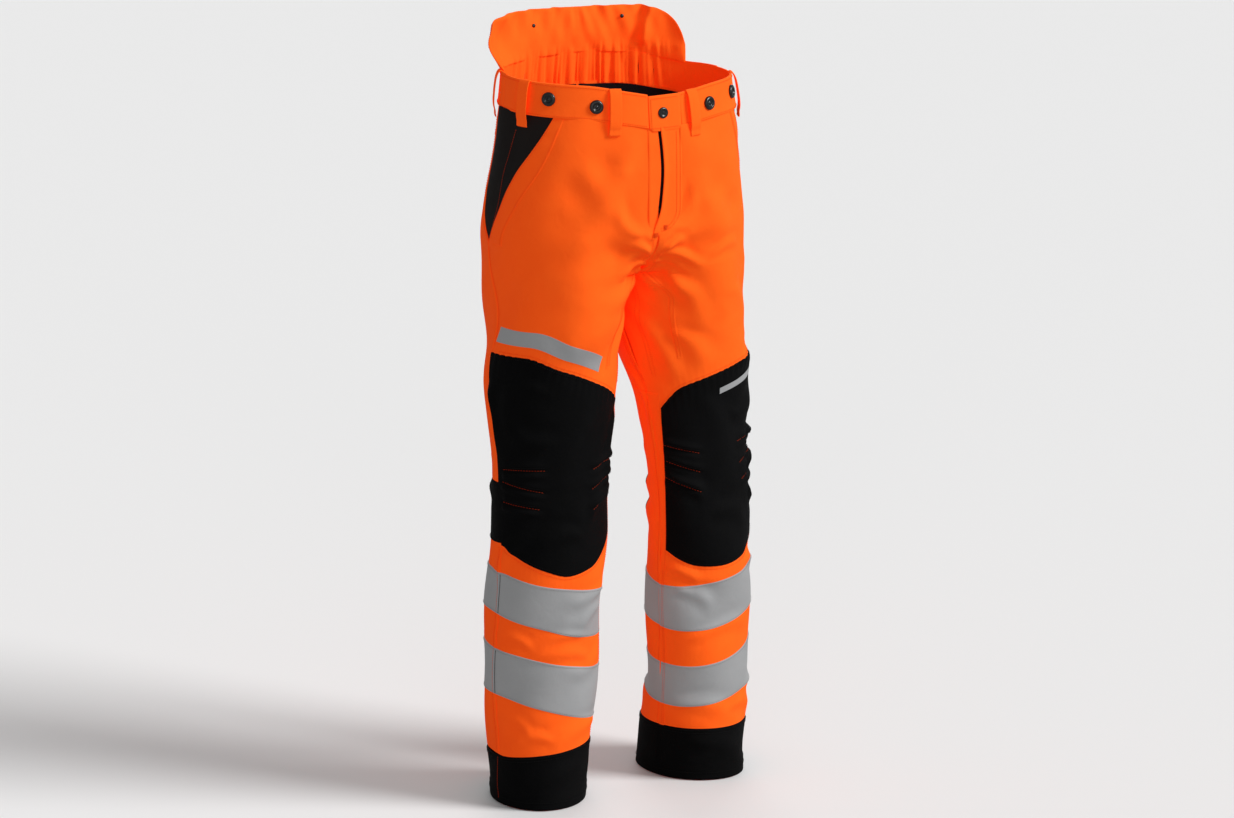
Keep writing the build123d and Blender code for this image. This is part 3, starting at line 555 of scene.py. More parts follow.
KNEE_TOP = {-1: phi(curve([-100, -78, -66, -36, 7, 43, 84, 110], [588, 600, 612, 636, 664, 682, 679, 676])),
            1: phi(curve([-100, -78, -67, -52, -31, -4, 42, 84, 110], [566, 577, 592, 610, 622, 633, 645, 655, 660]))}
KNEE_LOW = {-1: phi(curve([-100, -80, -65, -41, -16, 10, 37, 64, 100], [424, 408, 388, 362, 355, 366, 381, 399, 402])),
            1: phi(curve([-100, -91, -76, -63, -41, -18, 11, 39, 64, 100], [378, 366, 355, 345, 336, 334, 340, 354, 372, 380]))}
BAND1 = {-1: (cosine(275, 25, 95), cosine(346, 19, 108)), 1: (cosine(256, 20, 128), cosine(321, 16, 112))}
BAND2 = {-1: (cosine(150, 25, 90), cosine(225, 21, 90)), 1: (cosine(131, 14, 115), cosine(201, 21, 125))}


CUFF = {-1: cosine(81, 10, -60), 1: cosine(79, 4, -90)}


def along(f, a, b, n=40):
    """(s, z) points along z = f(s)."""
    s = np.linspace(a, b, n)
    return np.stack([s, f(s)], -1)


def down(f, z1, z2, off=0.0, n=40):
    """(s, z) points along s = f(z) + off."""
    z = np.linspace(z1, z2, n)
    return np.stack([f(z) + off, z], -1)


def s_at(x, z):
    """s of a point x mm from the middle on the front of the trunk."""
    a, b, n = TA(z), TB(z), TN(z)
    return np.arctan2(x, b * (1 - (np.abs(x) / a) ** n) ** (1 / n)) / math.pi


def zip_foot(x, z):
    """Swelling of the cloth over the foot of the zip."""
    return 3.7 * np.exp(-((x - 12) / 15) ** 2 - ((z - 842) / 17) ** 2)


def placket_edge(z):
    return 38.0 - 46 * sm((888 - z) / 46)


def fly_edge(z):
    z = np.asarray(z, float)
    return s_at(np.maximum(placket_edge(z) - 3.0, 0.0), np.maximum(z, 785))


mouth_stitch = curve([833, 836, 899, 961, 1025, 1050], [0.470, 0.471, 0.423, 0.363, 0.324, 0.310])
GUSSET = curve([610, 680, 746, 775, 800, 830], [0.117, 0.128, 0.134, 0.098, 0.050, 0.012])
INSEAM = curve([84, 280, 502, 600, 694, 740, 790], [0.008, 0.008, 0.022, 0.031, 0.049, 0.055, 0.025])

for side, word in SIDES.items():
    thigh, shin = word + "_thigh", word + "_shin"
    kt, kl = KNEE_TOP[side], KNEE_LOW[side]

    def pucker(f, amp=0.5, wave=9.0, reach=14.0):
        return lambda S, Z: amp * np.sin(S * 520 * 2 * math.pi / wave) * np.exp(-np.abs(Z - f(S)) / reach)

    # front and back cloth, waist to knee
    edge_in = const(0.0) if side < 0 else fly_edge
    o = patch(word + "_front_cloth", ORANGE, side, edge_in, front_edge, lambda s: kt(s) - 1.0, lambda s: w_low(side)(s) + 3, step=3.6,
              extra=lambda S, Z: pucker(kt, 0.45)(S, Z) + (zip_foot(S * 399, Z) if side > 0 else 0))
    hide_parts(word + "_front_panel", word + "_thigh_front_panel", word + "_hip_fold"); on_hip(o, side)
    o = patch(word + "_back_cloth", ORANGE, side, back_edge, const(1.0), const(600.0), lambda s: w_low(side)(s) + 3, step=4.2)
    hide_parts(word + "_back_panel", word + "_thigh_back_panel"); on_hip(o, side)
    # pocket
    o = patch(word + "_pocket_facing_cloth", POCKET, side, lambda z: pocket_line(np.maximum(z, 833)) - 0.022, lambda z: pocket_back(z) + 0.012, const(828.0), lambda s: w_low(side)(s) + 2, d=-1.7, th=1.2, step=4)
    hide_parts(word + "_pocket_facing"); on_hip(o, side)
    o = patch(word + "_pocket_bag_cloth", LINING, side, const(0.30), const(0.58), lambda s: 850 + 60 * np.abs((s - 0.44) / 0.14) ** 3, const(1004.0), d=-5.0, th=0.8, step=6)
    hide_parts(word + "_pocket_bag"); on_hip(o, side)
    # knee
    o = patch(word + "_knee_patch", BLACK, side, lambda z: INSEAM(z) + 0.008, lambda z: seam_low(z) + 0.002, kl, kt, d=0.9, th=2.2, step=3.0, extra=lambda S, Z: pucker(kt, 0.9, 11.0, 16)(S, Z))
    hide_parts(word + "_knee_panel"); on_knee(o, side)
    o = patch(word + "_back_knee_patch", BLACK, side, lambda z: seam_low(z) - 0.002, const(0.86), lambda s: 402 - 22 * (s - 0.447), lambda s: 491 - 10 * (s - 0.447), d=0.9, th=2.0, step=3.6)
    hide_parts(word + "_back_knee_panel"); on_knee(o, side)
    # lower leg
    o = patch(word + "_shin_front_cloth", ORANGE, side, const(0.0), seam_low, const(76.0), lambda s: kl(s) + 4, step=3.6, extra=pucker(kl, 0.5))
    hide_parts(word + "_shin_front_panel"); on_knee(o, side)
    o = patch(word + "_shin_back_cloth", ORANGE, side, seam_low, const(1.0), const(76.0), const(600.0), step=4.0)
    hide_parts(word + "_shin_back_panel"); on_knee(o, side)
    lo, hi = BAND1[side]
    o = patch(word + "_upper_band_tape", SILVER, side, None or const(0), const(1), lo, hi, d=1.0, th=1.3, ring=True, step=3.6, lip=0.5)
    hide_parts(word + "_upper_reflective_band"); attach(o, shin)
    lo2, hi2 = BAND2[side]
    o = patch(word + "_lower_band_tape", SILVER, side, const(0), const(1), lo2, hi2, d=1.0, th=1.3, ring=True, step=3.6, lip=0.5)
    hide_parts(word + "_lower_reflective_band"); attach(o, shin)
    o = patch(word + "_cuff_cloth", BLACK, side, const(0), const(1), lambda s: 0.4 + 0 * s, CUFF[side], d=0.9, th=2.4, ring=True, step=3.6)
    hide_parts(word + "_hem_cuff"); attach(o, shin)
    # saw inserts: quilted layers inside the front
    quilt = lambda S, Z: -0.6 + 0.6 * np.abs(np.sin(S * 520 * math.pi / 60)) * np.abs(np.sin(Z * math.pi / 60))
    o = patch(word + "_thigh_insert", KNIT, side, const(0.02), lambda z: seam_low(z) - 0.02, const(506.0), const(742.0), d=-3.2, th=5.0, step=7, extra=quilt)
    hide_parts(word + "_thigh_saw_pad"); on_hip(o, side)
    o = patch(word + "_shin_insert", KNIT, side, const(0.02), lambda z: seam_low(z) - 0.02, const(92.0), const(452.0), d=-3.4, th=5.0, step=7, extra=quilt)
    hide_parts(word + "_shin_saw_pad"); on_knee(o, side)

    # felled seams and hems standing a little proud
    INS, GUS = INSEAM, GUSSET
    welts = [
        ("pocket_hem", lambda z: mouth_stitch(z), pocket_line, 838.0, lambda s: w_low(side)(s) + 1, "hip"),
        ("side_seam", lambda z: back_edge(z) - 0.001, lambda z: back_edge(z) + 0.0125, 602.0, 830.0, "hip"),
        ("gusset_seam", lambda z: GUS(z) - 0.006, lambda z: GUS(z) + 0.007, 655.0, 800.0, "hip"),
        ("back_yoke_seam", lambda z: back_edge(z) + 0.014, const(1.0), lambda s: 984 - 26 * sm((s - 0.6) / 0.4), lambda s: 992 - 26 * sm((s - 0.6) / 0.4), "hip"),
        ("centre_back_seam", const(0.984 if side > 0 else 0.996), const(1.0), 800.0, lambda s: w_low(side)(s) + 1, "hip"),
        ("low_side_seam", lambda z: seam_low(z) + 0.001, lambda z: seam_low(z) + 0.014, 78.0, 396.0, "knee"),
        ("low_inseam", const(-0.002), lambda z: INS(z) + 0.010, 78.0, 600.0, "knee"),
    ]
    for nm, f0, f1, z0, z1, kind in welts:
        o = patch(word + "_" + nm, ORANGE, side, f0, f1, z0 if callable(z0) else const(z0), z1 if callable(z1) else const(z1), d=0.75, th=0.9, step=2.6, lip=0.45, crease=0.9)
        (on_hip if kind == "hip" else on_knee)(o, side)

    # seams
    K, H = word + "_knee_thread_", word + "_hip_thread_"
    stitches((H + "orange", THREAD_O), side, along(lambda s: kt(s) + 4, 0.01, 0.45), 0.4)
    stitches((H + "orange", THREAD_O), side, down(front_edge, 690, 830, -0.006), 0.4)
    stitches((H + "orange", THREAD_O), side, down(pocket_line, 838, 1018, -0.005), 1.1)
    stitches((H + "orange", THREAD_O), side, down(mouth_stitch, 838, 1018, 0.004), 1.1)
    stitches((H + "orange", THREAD_O), side, down(INSEAM, 625, 780, 0.0), 0.4)
    stitches((H + "orange", THREAD_O), side, down(INSEAM, 625, 780, 0.010), 0.4)
    stitches((H + "orange", THREAD_O), side, down(GUSSET, 658, 826, -0.003), 1.1)
    stitches((H + "orange", THREAD_O), side, down(GUSSET, 658, 826, 0.004), 1.1)
    stitches((H + "orange", THREAD_O), side, down(lambda z: back_edge(z) + 0.006, 605, 1015), 0.4)
    for k in (1.6, 6.4):
        stitches((H + "orange", THREAD_O), side, along(lambda s, k=k: 984 - 26 * sm((s - 0.6) / 0.4) + k, 0.61, 0.99, 60), 1.1)
    if side > 0:
        for k in (0.9865, 0.9965):
            stitches((H + "orange", THREAD_O), side, down(lambda z, k=k: k + 0 * z, 802, 1028), 1.1)
    stitches((H + "rust", THREAD_R), side, down(curve([860, 1010], [0.520, 0.452]), 862, 1010), -1.1)
    for k in (0.0, 0.008):
        stitches((H + "orange", THREAD_O), side, down(lambda z: 0.994 - k + 0 * z, 610, 780), 0.4)
    stitches((K + "black", THREAD_K), side, along(lambda s: kt(s) - 4, 0.045, 0.45), 1.4)
    stitches((K + "orange", THREAD_O), side, along(lambda s: kl(s) - 4, 0.01, 0.42), 0.5)
    stitches((K + "black", THREAD_K), side, along(lambda s: kl(s) + 4, 0.035, 0.42), 1.4)
    for f in DARTS:
        stitches((K + "rust", THREAD_R), side, [(f[0], f[1]), ((f[0] + f[2]) / 2, (f[1] + f[3]) / 2 + 0.8), (f[2], f[3])], 1.7, pitch=4.2)
        stitches((K + "black", THREAD_K), side, [(f[0], f[1] + 4.5), (f[2], f[3] + 4.5)], 1.5)
    stitches((K + "orange", THREAD_O), side, down(seam_low, 82, 398, 0.011), 1.1)
    stitches((K + "orange", THREAD_O), side, down(INSEAM, 84, 330, 0.002), 1.1)
    stitches((K + "orange", THREAD_O), side, down(INSEAM, 84, 600, 0.008), 1.1)
    stitches((K + "orange", THREAD_O), side, down(lambda z: 0.992 + 0 * z, 84, 590), 0.4)
    stitches((K + "black", THREAD_K), side, along(const(487.0), 0.46, 0.85), 1.5)
    stitches((K + "black", THREAD_K), side, along(const(404.0), 0.46, 0.85), 1.5)
    for lo_, hi_ in ((lo, hi), (lo2, hi2)):
        for f, k in ((lo_, 2.6), (hi_, -2.6)):
            stitches((word + "_band_thread", THREAD_G), side, along(lambda s, f=f, k=k: f(s) + k, 0, 1, 80), 1.5, r=0.28)
        # overlapped end of the tape at the side seam, drawn as a near-continuous black thread line: painted shade of
        # the seam gap
        stitches((word + "_seam_thread", THREAD_K), side, [(float(seam_low(float(lo_(0.42)))), float(lo_(0.42)) + 0.5), (float(seam_low(float(hi_(0.42)))), float(hi_(0.42)) - 0.5)], 1.35, pitch=2.7, length=2.6, r=0.42)
    for k in (3.0, 7.0):
        stitches((word + "_cuff_thread", THREAD_K), side, along(lambda s, k=k: CUFF[side](s) - k, 0, 1, 80), 1.4)
    stitches((word + "_cuff_thread", THREAD_K), side, along(const(12.0), 0, 1, 80), 1.4)
    stitches((word + "_tack_thread", THREAD_R), side, [(0.432, 8), (0.434, 40), (0.432, 74)], 1.45)

# plain reflective flashes
o = patch("right_thigh_flash", SILVER, -1, const(0.16), const(0.468), lambda s: KNEE_TOP[-1](s) + 16, lambda s: KNEE_TOP[-1](s) + 38, d=0.45, th=0.5, lip=0.2, step=3.6)
on_hip(o, -1)
o = patch("left_knee_flash", SILVER, 1, const(0.215), const(0.36), lambda s: KNEE_TOP[1](s) - 34, lambda s: KNEE_TOP[1](s) - 25, d=2.0, th=0.5, lip=0.2, step=3.0)
on_knee(o, 1)


# ---------------------------------------------------------------- waistband, tab, fly
def gathers(S, Z, top, fade):
    q = S * 560
    ph = q * 2 * math.pi / 25.0 + 1.7 * np.sin(S * 43) + 1.1 * np.sin(S * 97 + 1) + 0.02 * (Z - 1080) * np.sin(S * 60)
    g = 1 - 2.2 * np.abs(np.sin(ph / 2)) ** 0.8 + 0.35 * np.sin(q * 2 * math.pi / 9.1 + 3 * np.sin(S * 17)) * np.sin(S * 29)
    return g * np.clip(1 - np.abs(Z - top) / fade, 0, 1)


def gather(S, Z):
    e = np.minimum(1 - S, 1)
    a = sm((S - 0.62) / 0.12)
    return a * 2.7 * gathers(S, Z, 1040, 80)


def xs_front(side, x):
    """s on the front trunk where |x| is x."""
    s = np.linspace(0, 0.4, 400)
    X = np.abs(base(side, s, np.full_like(s, 1030.0))[0])
    return float(np.interp(x, X, s))


band = {"right": (xs_front(-1, 14.5), 0.52), "left": (xs_front(1, 38.5), 0.52)}
for side, word in SIDES.items():
    a, b = band[word]
    o = patch("waistband_" + word + "_cloth", ORANGE, side, const(a), const(b), w_low(side), w_top(side), d=1.6, th=3.2, step=3.2, rough=False, lip=1.2, crease=1.6)
    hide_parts("waistband_front_" + word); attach(o, "seat")
    o = patch("waistband_back_" + word + "_cloth", ORANGE, side, const(b), const(1.0), w_low(side), lambda s, side=side: w_top(side)(s) + 1, d=1.6, th=3.2, step=2.4, rough=False, extra=gather, lip=1.2, crease=1.6)
    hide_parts("waistband_back"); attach(o, "seat")
    for k, lim in ((3.0, (a + 0.005, 0.98)), (45.0, (a + 0.005, 0.98))):
        stitches(("waistband_thread", THREAD_O), side, along(lambda s, k=k, side=side: w_low(side)(s) + k, *lim, 80), 2.0, rough=False, extra=gather)
    o = patch("waist_elastic_" + word, ELASTIC, side, const(0.60), const(0.995), lambda s, side=side: w_low(side)(s) + 6, lambda s, side=side: w_low(side)(s) + 42, d=0.5, th=1.0, step=3, rough=False, extra=gather)
    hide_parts("waist_elastic"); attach(o, "seat")
    o = patch("seat_lining_" + word, LINING, side, const(0.62), const(0.995), const(880.0), lambda s, side=side: w_low(side)(s) - 1, d=-3.4, th=0.9, step=6)
    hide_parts("seat_lining"); on_hip(o, side)

# the end under the tab, and the underlap behind the fly, in the darker orange that paints shade on them
o = patch("waistband_underlap", ORANGE_SHADED, -1, const(0.0), const(xs_front(-1, 30)), lambda s: w_low(-1)(s) + 2, lambda s: w_top(-1)(s) - 3, d=-2.2, th=2.0, step=3, rough=False)
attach(o, "seat")
o = patch("waistband_underlap_end", ORANGE_SHADED, 1, const(0.0), const(xs_front(1, 33)), lambda s: w_low(1)(s) + 2, lambda s: w_top(1)(s) - 3, d=-2.2, th=2.0, step=3, rough=False)
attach(o, "seat")


def flat_patch(name, mat, outline, y_front, th, nx=24, nz=60, bulge=0.0):
    """Vertical cloth sheet facing -Y. outline(z) gives the x limits, y_front(x, z) the face."""
    z = np.linspace(outline[0], outline[1], nz)
    U, Z = np.meshgrid(np.linspace(0, 1, nx), z)
    xl, xr = outline[2](Z), outline[3](Z)
    X = xl + (xr - xl) * U
    e = np.minimum(np.minimum(U, 1 - U) * (xr - xl), np.minimum(Z - outline[0], outline[1] - Z))
    lip = 0.7 * (1 - np.sqrt(np.clip(1 - (1 - np.clip(e / 1.6, 0, 1)) ** 2, 0, 1)))
    YF = y_front(X, Z) + lip
    outer = np.stack([X, YF, Z], -1).reshape(-1, 3)
    inner = np.stack([X, y_front(X, Z) + th, Z], -1).reshape(-1, 3)
    n = X.size
    idx = np.arange(n).reshape(X.shape)
    q = np.stack([idx[:-1, :-1], idx[:-1, 1:], idx[1:, 1:], idx[1:, :-1]], -1).reshape(-1, 4)
    rims = []
    for line, flip in ((idx[0], True), (idx[-1], False), (idx[:, 0], False), (idx[:, -1], True)):
        r = np.stack([line[:-1], line[1:], line[1:] + n, line[:-1] + n], -1)
        rims.append(r[:, ::-1] if flip else r)
    F = np.concatenate([q, q[:, ::-1] + n] + rims)
    uv = np.stack([X, Z], -1).reshape(-1, 2)
    edge = np.zeros(X.shape, bool); edge[0] = edge[-1] = True; edge[:, 0] = edge[:, -1] = True
    return mesh(name, np.concatenate([outer, inner]), F, mat, np.concatenate([uv, uv]), np.concatenate([edge.ravel()] * 2))


sf = np.linspace(-0.14, 0.14, 141)


def front_y(x, z, d=0.0):
    """Skin y on the front trunk at x, z."""
    a, b, yc, n = TA(z), TB(z), TY(z), TN(z)
    return yc + Y0 - b * (1 - (np.abs(x) / a) ** n) ** (1 / n) - d


slit = curve([848, 862, 880, 900, 948, 1006], [-12, -8, -1, 3.5, 7, 3])
# dark strip set just behind the fly slit in the lining's near-black: painted shadow for the gap, partly standing for
# the zip tape's dark edge
o = flat_patch("fly_gap_shadow_strip", LINING, (854, 1006, lambda z: slit(z) - 5.0, lambda z: slit(z) + 3.0), lambda x, z: front_y(x, z, -0.9), 0.7, 8, 60)
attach(o, "seat")
o = flat_patch("fly_edge_cloth", ORANGE, (852, 1009, lambda z: -16.0 + 0 * z, lambda z: slit(z) - 3.0), lambda x, z: front_y(x, z, 0.35), 1.3, 14, 60)
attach(o, "seat")
o = flat_patch("placket_cloth", ORANGE, (848, 1010, slit, placket_edge),
               lambda x, z: front_y(x, z, 1.7 + zip_foot(x, z) + 2.6 * np.exp(-((x - slit(z)) / 6.0) ** 2) * sm((z - 848) / 50)), 1.5, 30, 80)
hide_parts("fly_placket"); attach(o, "fly_flap")
tab_top, tab_low = float(w_top(1)(0.02)), float(w_low(1)(0.02))
o = flat_patch("tab_cloth", ORANGE, (tab_low - 1.5, tab_top + 1.0, lambda z: -14.0 + 6 * np.clip((tab_low + 5 - z) / 6, 0, 1) ** 2, lambda z: 38.4 + 0 * z), lambda x, z: front_y(x, z, 3.0), 2.6, 24, 26)
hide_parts("waistband_tab"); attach(o, "fly_flap")
# the underlap behind the fly is in the darker orange: painted shade
o = flat_patch("underlap_cloth", ORANGE_SHADED, (848, 1004, lambda z: -30.0 + 0 * z, lambda z: 42.0 - 12 * sm((880 - z) / 30)), lambda x, z: -109.5 + Y0 + 0 * x, 1.3, 16, 30)
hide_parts("fly_underlap"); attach(o, "seat")


def dash_line(key, pts, pitch=3.6, length=2.5, r=0.34):
    """Thread dashes along free points in mm facing -Y."""
    P = np.array(pts, float)
    L = np.concatenate([[0], np.cumsum(np.linalg.norm(np.diff(P, axis=0), axis=1))])
    starts = np.arange(0.5, L[-1] - length, pitch)
    A = np.stack([np.interp(starts, L, P[:, k]) for k in range(3)], -1)
    B = np.stack([np.interp(starts + length, L, P[:, k]) for k in range(3)], -1)
    N = np.tile([0, -1.0, 0], (len(A), 1))
    T = (B - A) / np.linalg.norm(B - A, axis=1)[:, None]
    W = np.cross(T, N)
    rings = []
    for c, k in ((A - N * 0.3, 0.55), (A * 0.7 + B * 0.3 + N * 0.12, 1.0), (A * 0.3 + B * 0.7 + N * 0.12, 1.0), (B - N * 0.3, 0.55)):
        for ang in (0, 60, 120, 180, 240, 300):
            rings.append(c + r * k * (W * math.cos(math.radians(ang)) + N * math.sin(math.radians(ang))))
    fs = [[k * 6 + j, k * 6 + (j + 1) % 6, k * 6 + 6 + (j + 1) % 6, k * 6 + 6 + j] for k in range(3) for j in range(6)]
    fs += [[5, 4, 3, 2], [5, 2, 1, 0], [18, 19, 20, 21], [18, 21, 22, 23]]
    stitch_sets.setdefault(key, []).append((np.stack(rings, 1), np.array(fs)))


zz = np.linspace(1002, 892, 40)
for off in (3.0, 9.0):
    xx = 38.0 - off + 0 * zz
    zc2 = np.linspace(0, 1, 24)
    jx = (38 - off) * np.cos(zc2 * math.pi / 2) ** 0.9 + 1 * zc2
    jz = 892 - (34 - off * 0.6) * np.sin(zc2 * math.pi / 2)
    X, Z = np.concatenate([xx, jx]), np.concatenate([zz, jz])
    dash_line(("fly_thread", THREAD_O), np.stack([X, front_y(X, Z, 2.1 + zip_foot(X, Z)), Z], -1))
tz = np.linspace(tab_low + 2, tab_top - 3, 12)
dash_line(("fly_thread", THREAD_O), np.stack([-11 + 0 * tz, front_y(-11 + 0 * tz, tz, 3.4), tz], -1))
for zrow in (tab_low + 3, tab_top - 3):
    tx = np.linspace(-10, 36, 16)
    dash_line(("fly_thread", THREAD_O), np.stack([tx, front_y(tx, zrow + 0 * tx, 3.4), zrow + 0 * tx], -1))
# bar tacks at the fly's foot
for bx, bz, L in ((-6, 852, 9), (10, 862, 7)):
    for k in range(7):
        zq = bz + k * 0.9
        dash_line(("seat_tack_thread", THREAD_O), [(bx - L / 2, float(front_y(np.array(bx), np.array(zq), 2.7 + zip_foot(bx, zq))), zq), (bx + L / 2 + 1, float(front_y(np.array(bx), np.array(zq), 2.7 + zip_foot(bx, zq))), zq)], pitch=L, length=L - 0.3, r=0.4)


# ---------------------------------------------------------------- loops and buttons
def frame_at(side, s, z, d):
    p = skin(side, np.array(s), np.array(z), d, False)
    q = skin(side, np.array(s), np.array(z), d + 1, False)
    u = skin(side, np.array(s), np.array(z + 10.0), d, False) - skin(side, np.array(s), np.array(z - 10.0), d, False)
    n = q - p
    u /= np.linalg.norm(u)
    w = np.cross(u, n); w /= np.linalg.norm(w)
    n = np.cross(w, u)
    return p, w, u, n


def loop_mesh(side, s):
    zt = float(w_top(side)(np.array(s)))
    p, w, u, n = frame_at(side, s, zt - 28.0, 1.7)
    path = [(-37, 0.6), (-36.2, 1.9), (-33, 2.2), (-29, 2.4), (-24, 4.6), (-16, 6.0), (0, 6.4), (16, 6.0), (24, 4.4), (27.5, 2.6), (28.8, 1.0), (28.8, -0.6), (27.5, -1.4)]
    path = np.array(path)
    t = np.linspace(0, len(path) - 1, 60)
    H, D = np.interp(t, range(len(path)), path[:, 0]), np.interp(t, range(len(path)), path[:, 1])
    for _ in range(4):
        H[1:-1] = (H[:-2] + H[1:-1] * 2 + H[2:]) / 4; D[1:-1] = (D[:-2] + D[1:-1] * 2 + D[2:]) / 4
    dH, dD = np.gradient(H), np.gradient(D)
    L = np.hypot(dH, dD)
    nh, nd = -dD / L, dH / L
    prof = [(-9, 0), (-8.8, 0.75), (-8, 1.05), (-6.8, 0.95), (-3, 1.15), (0, 1.2), (3, 1.15), (6.8, 0.95), (8, 1.05), (8.8, 0.75), (9, 0), (8.6, -0.6), (0, -0.75), (-8.6, -0.6)]
    V = []
    for h, d, a, b in zip(H, D, nh, nd):
        for x, k in prof:
            V.append(p + w * x + u * (h + a * k) + n * (d + b * k))
    m = len(prof)
    F = [[i * m + j, i * m + (j + 1) % m, (i + 1) * m + (j + 1) % m, (i + 1) * m + j] for i in range(len(H) - 1) for j in range(m)]
    F += [[0 + j for j in range(m)][::-1], [(len(H) - 1) * m + j for j in range(m)]]
    return V, F


loops = [loop_mesh(-1, s) for s in (0.172, 0.432, 0.575)] + [loop_mesh(1, s) for s in (0.155, 0.432, 0.70)] + [loop_mesh(-1, 0.9995)]
o = joined("belt_loop_straps", ORANGE, loops)
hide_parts("belt_loops"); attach(o, "seat")
cap = [(0.01, -1.0), (9.2, -1.0), (9.9, -0.4), (10.1, 0.6), (9.9, 1.7), (9.2, 2.7), (8.0, 3.3), (6.6, 3.5), (5.6, 3.3), (4.9, 2.5), (4.5, 1.7), (3.4, 1.5), (2.2, 1.55), (1.9, 2.0), (1.2, 2.3), (0.01, 2.4)]
btn = []
tacks = []
for sd, ss in ((-1, ((0.364, 1057), (0.232, 1046))), (1, ((0.232, 1033), (0.360, 1038)))):
    for s, z in ss:
        p, w, u, n = frame_at(sd, s, z, 2.4)
        btn.append(lathe(cap, p, n))
        btn.append(lathe([(0.01, 0), (2.2, 0), (2.2, -5.4), (0.01, -5.4)], p, n, 20))
        tacks.append(lathe([(2.3, -4.6), (6.6, -4.7), (7.0, -5.2), (6.6, -5.8), (2.3, -5.9), (2.3, -4.6)], p, n, 32))
o = joined("brace_button_caps", BUTTON, btn)
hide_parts("brace_buttons"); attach(o, "seat")
o = joined("button_washer_rings", STEEL, tacks)
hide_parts("button_washers"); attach(o, "seat")
p, w, u, n = frame_at(1, 0.022, (tab_top + tab_low) / 2, 3.0)
o = joined("snap_cap", BUTTON, [lathe([(0.01, -0.8), (7.2, -0.8), (7.9, -0.2), (8.0, 0.8), (7.6, 1.7), (6.6, 2.3), (5.4, 2.5), (4.4, 2.2), (3.6, 1.7), (2.4, 1.6), (1.2, 1.9), (0.01, 2.0)], p, n),
                               lathe([(0.01, 0), (2.4, 0), (2.4, -4.6), (0.01, -4.8)], p, n, 24)])
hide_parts("waist_snap_cap"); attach(o, "fly_flap")
o = joined("snap_socket", STEEL, [lathe([(2.7, -5.3), (4.2, -5.2), (4.5, -5.8), (4.4, -8.4), (2.7, -8.6), (2.7, -5.3)], p, n, 32)])
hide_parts("waist_snap_socket"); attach(o, "seat")

# ---------------------------------------------------------------- back bib
BIB_END = {-1: 0.565, 1: 0.622}
BIB_TOP = {-1: curve([0.565, 0.575, 0.60, 0.64, 0.70, 0.80, 1.0], [1088, 1104, 1128, 1145, 1150, 1149, 1145]),
           1: curve([0.622, 0.63, 0.65, 0.68, 0.72, 0.80, 1.0], [1084, 1100, 1118, 1131, 1139, 1142, 1145])}


def bib_top(side):
    return lambda s: BIB_TOP[side](s)


def bib_bulge(side):
    def f(S, Z):
        h = np.clip((Z - 1082) / 62, 0, 1)
        end = sm((0.78 - S) / 0.16)
        g = (17 if side < 0 else 3) * np.sin(math.pi * 0.86 * h) * end + 3 * h * sm((0.95 - S) / 0.2)
        u = (S - 0.735) * 560 + (Z - 1110) * 0.25
        tuck = -8.0 * np.exp(-(u / 8.0) ** 2) + 5.5 * np.exp(-((u - 16) / 11.0) ** 2)
        soft = (2.0 * np.sin(S * 70 + Z * 0.05) + 1.2 * np.sin(S * 120 - Z * 0.11)) * h + 1.4 * np.sin(S * 38 - Z * 0.09)
        k = (g + (tuck * sm((Z - 1080) / 14) if side > 0 else 0) + soft + 1.6 * gathers(S, Z, 1078, 34) * sm((1098 - Z) / 18))
        return k * sm((1 - S) / 0.03) * sm((Z - 1056) / 22 + 0.35)
    return f


def trunk_shell_full(name, mat, s_end, zb, zt, d, th, extras, step=2.6, nv=34):
    """One sheet from the right side round the back to the left side."""
    n = int((1 - s_end[-1]) * 560 / step)
    cols = []
    rows = np.unique(np.concatenate([[0, 0.014, 0.04], np.linspace(0.08, 0.92, nv), [0.96, 0.986, 1]]))
    for sd, ss in ((-1, np.linspace(s_end[-1], 1.0, n)), (1, np.linspace(1.0, s_end[1], n)[1:])):
        S, V = np.meshgrid(ss, rows)
        Z = zb(sd, S) + (zt(sd)(S) - zb(sd, S)) * V
        e = np.minimum((S - s_end[sd]) * 560, np.minimum(V, 1 - V) * np.maximum(zt(sd)(S) - zb(sd, S), 1))
        lip = 0.9 * (1 - np.sqrt(np.clip(1 - (1 - np.clip(e / 1.8, 0, 1)) ** 2, 0, 1)))
        ex = extras[sd](S, Z)
        cols.append((skin(sd, S, Z, d + ex - lip, False), skin(sd, S, Z, d + ex - th + lip * 0.5, False), S * 560 * sd, Z))
    O = np.concatenate([c[0] for c in cols], 1); I = np.concatenate([c[1] for c in cols], 1)
    UVx = np.concatenate([c[2] for c in cols], 1); UVz = np.concatenate([c[3] for c in cols], 1)
    shape = UVx.shape
    N = UVx.size
    idx = np.arange(N).reshape(shape)
    q = np.stack([idx[:-1, :-1], idx[:-1, 1:], idx[1:, 1:], idx[1:, :-1]], -1).reshape(-1, 4)[:, ::-1]
    rims = []
    for line, flip in ((idx[0], False), (idx[-1], True), (idx[:, 0], True), (idx[:, -1], False)):
        r = np.stack([line[:-1], line[1:], line[1:] + N, line[:-1] + N], -1)
        rims.append(r[:, ::-1] if flip else r)
    F = np.concatenate([q, q[:, ::-1] + N] + rims)
    uv = np.stack([UVx, UVz], -1).reshape(-1, 2)
    return mesh(name, np.concatenate([O.reshape(-1, 3), I.reshape(-1, 3)]), F, mat, np.concatenate([uv, uv]))


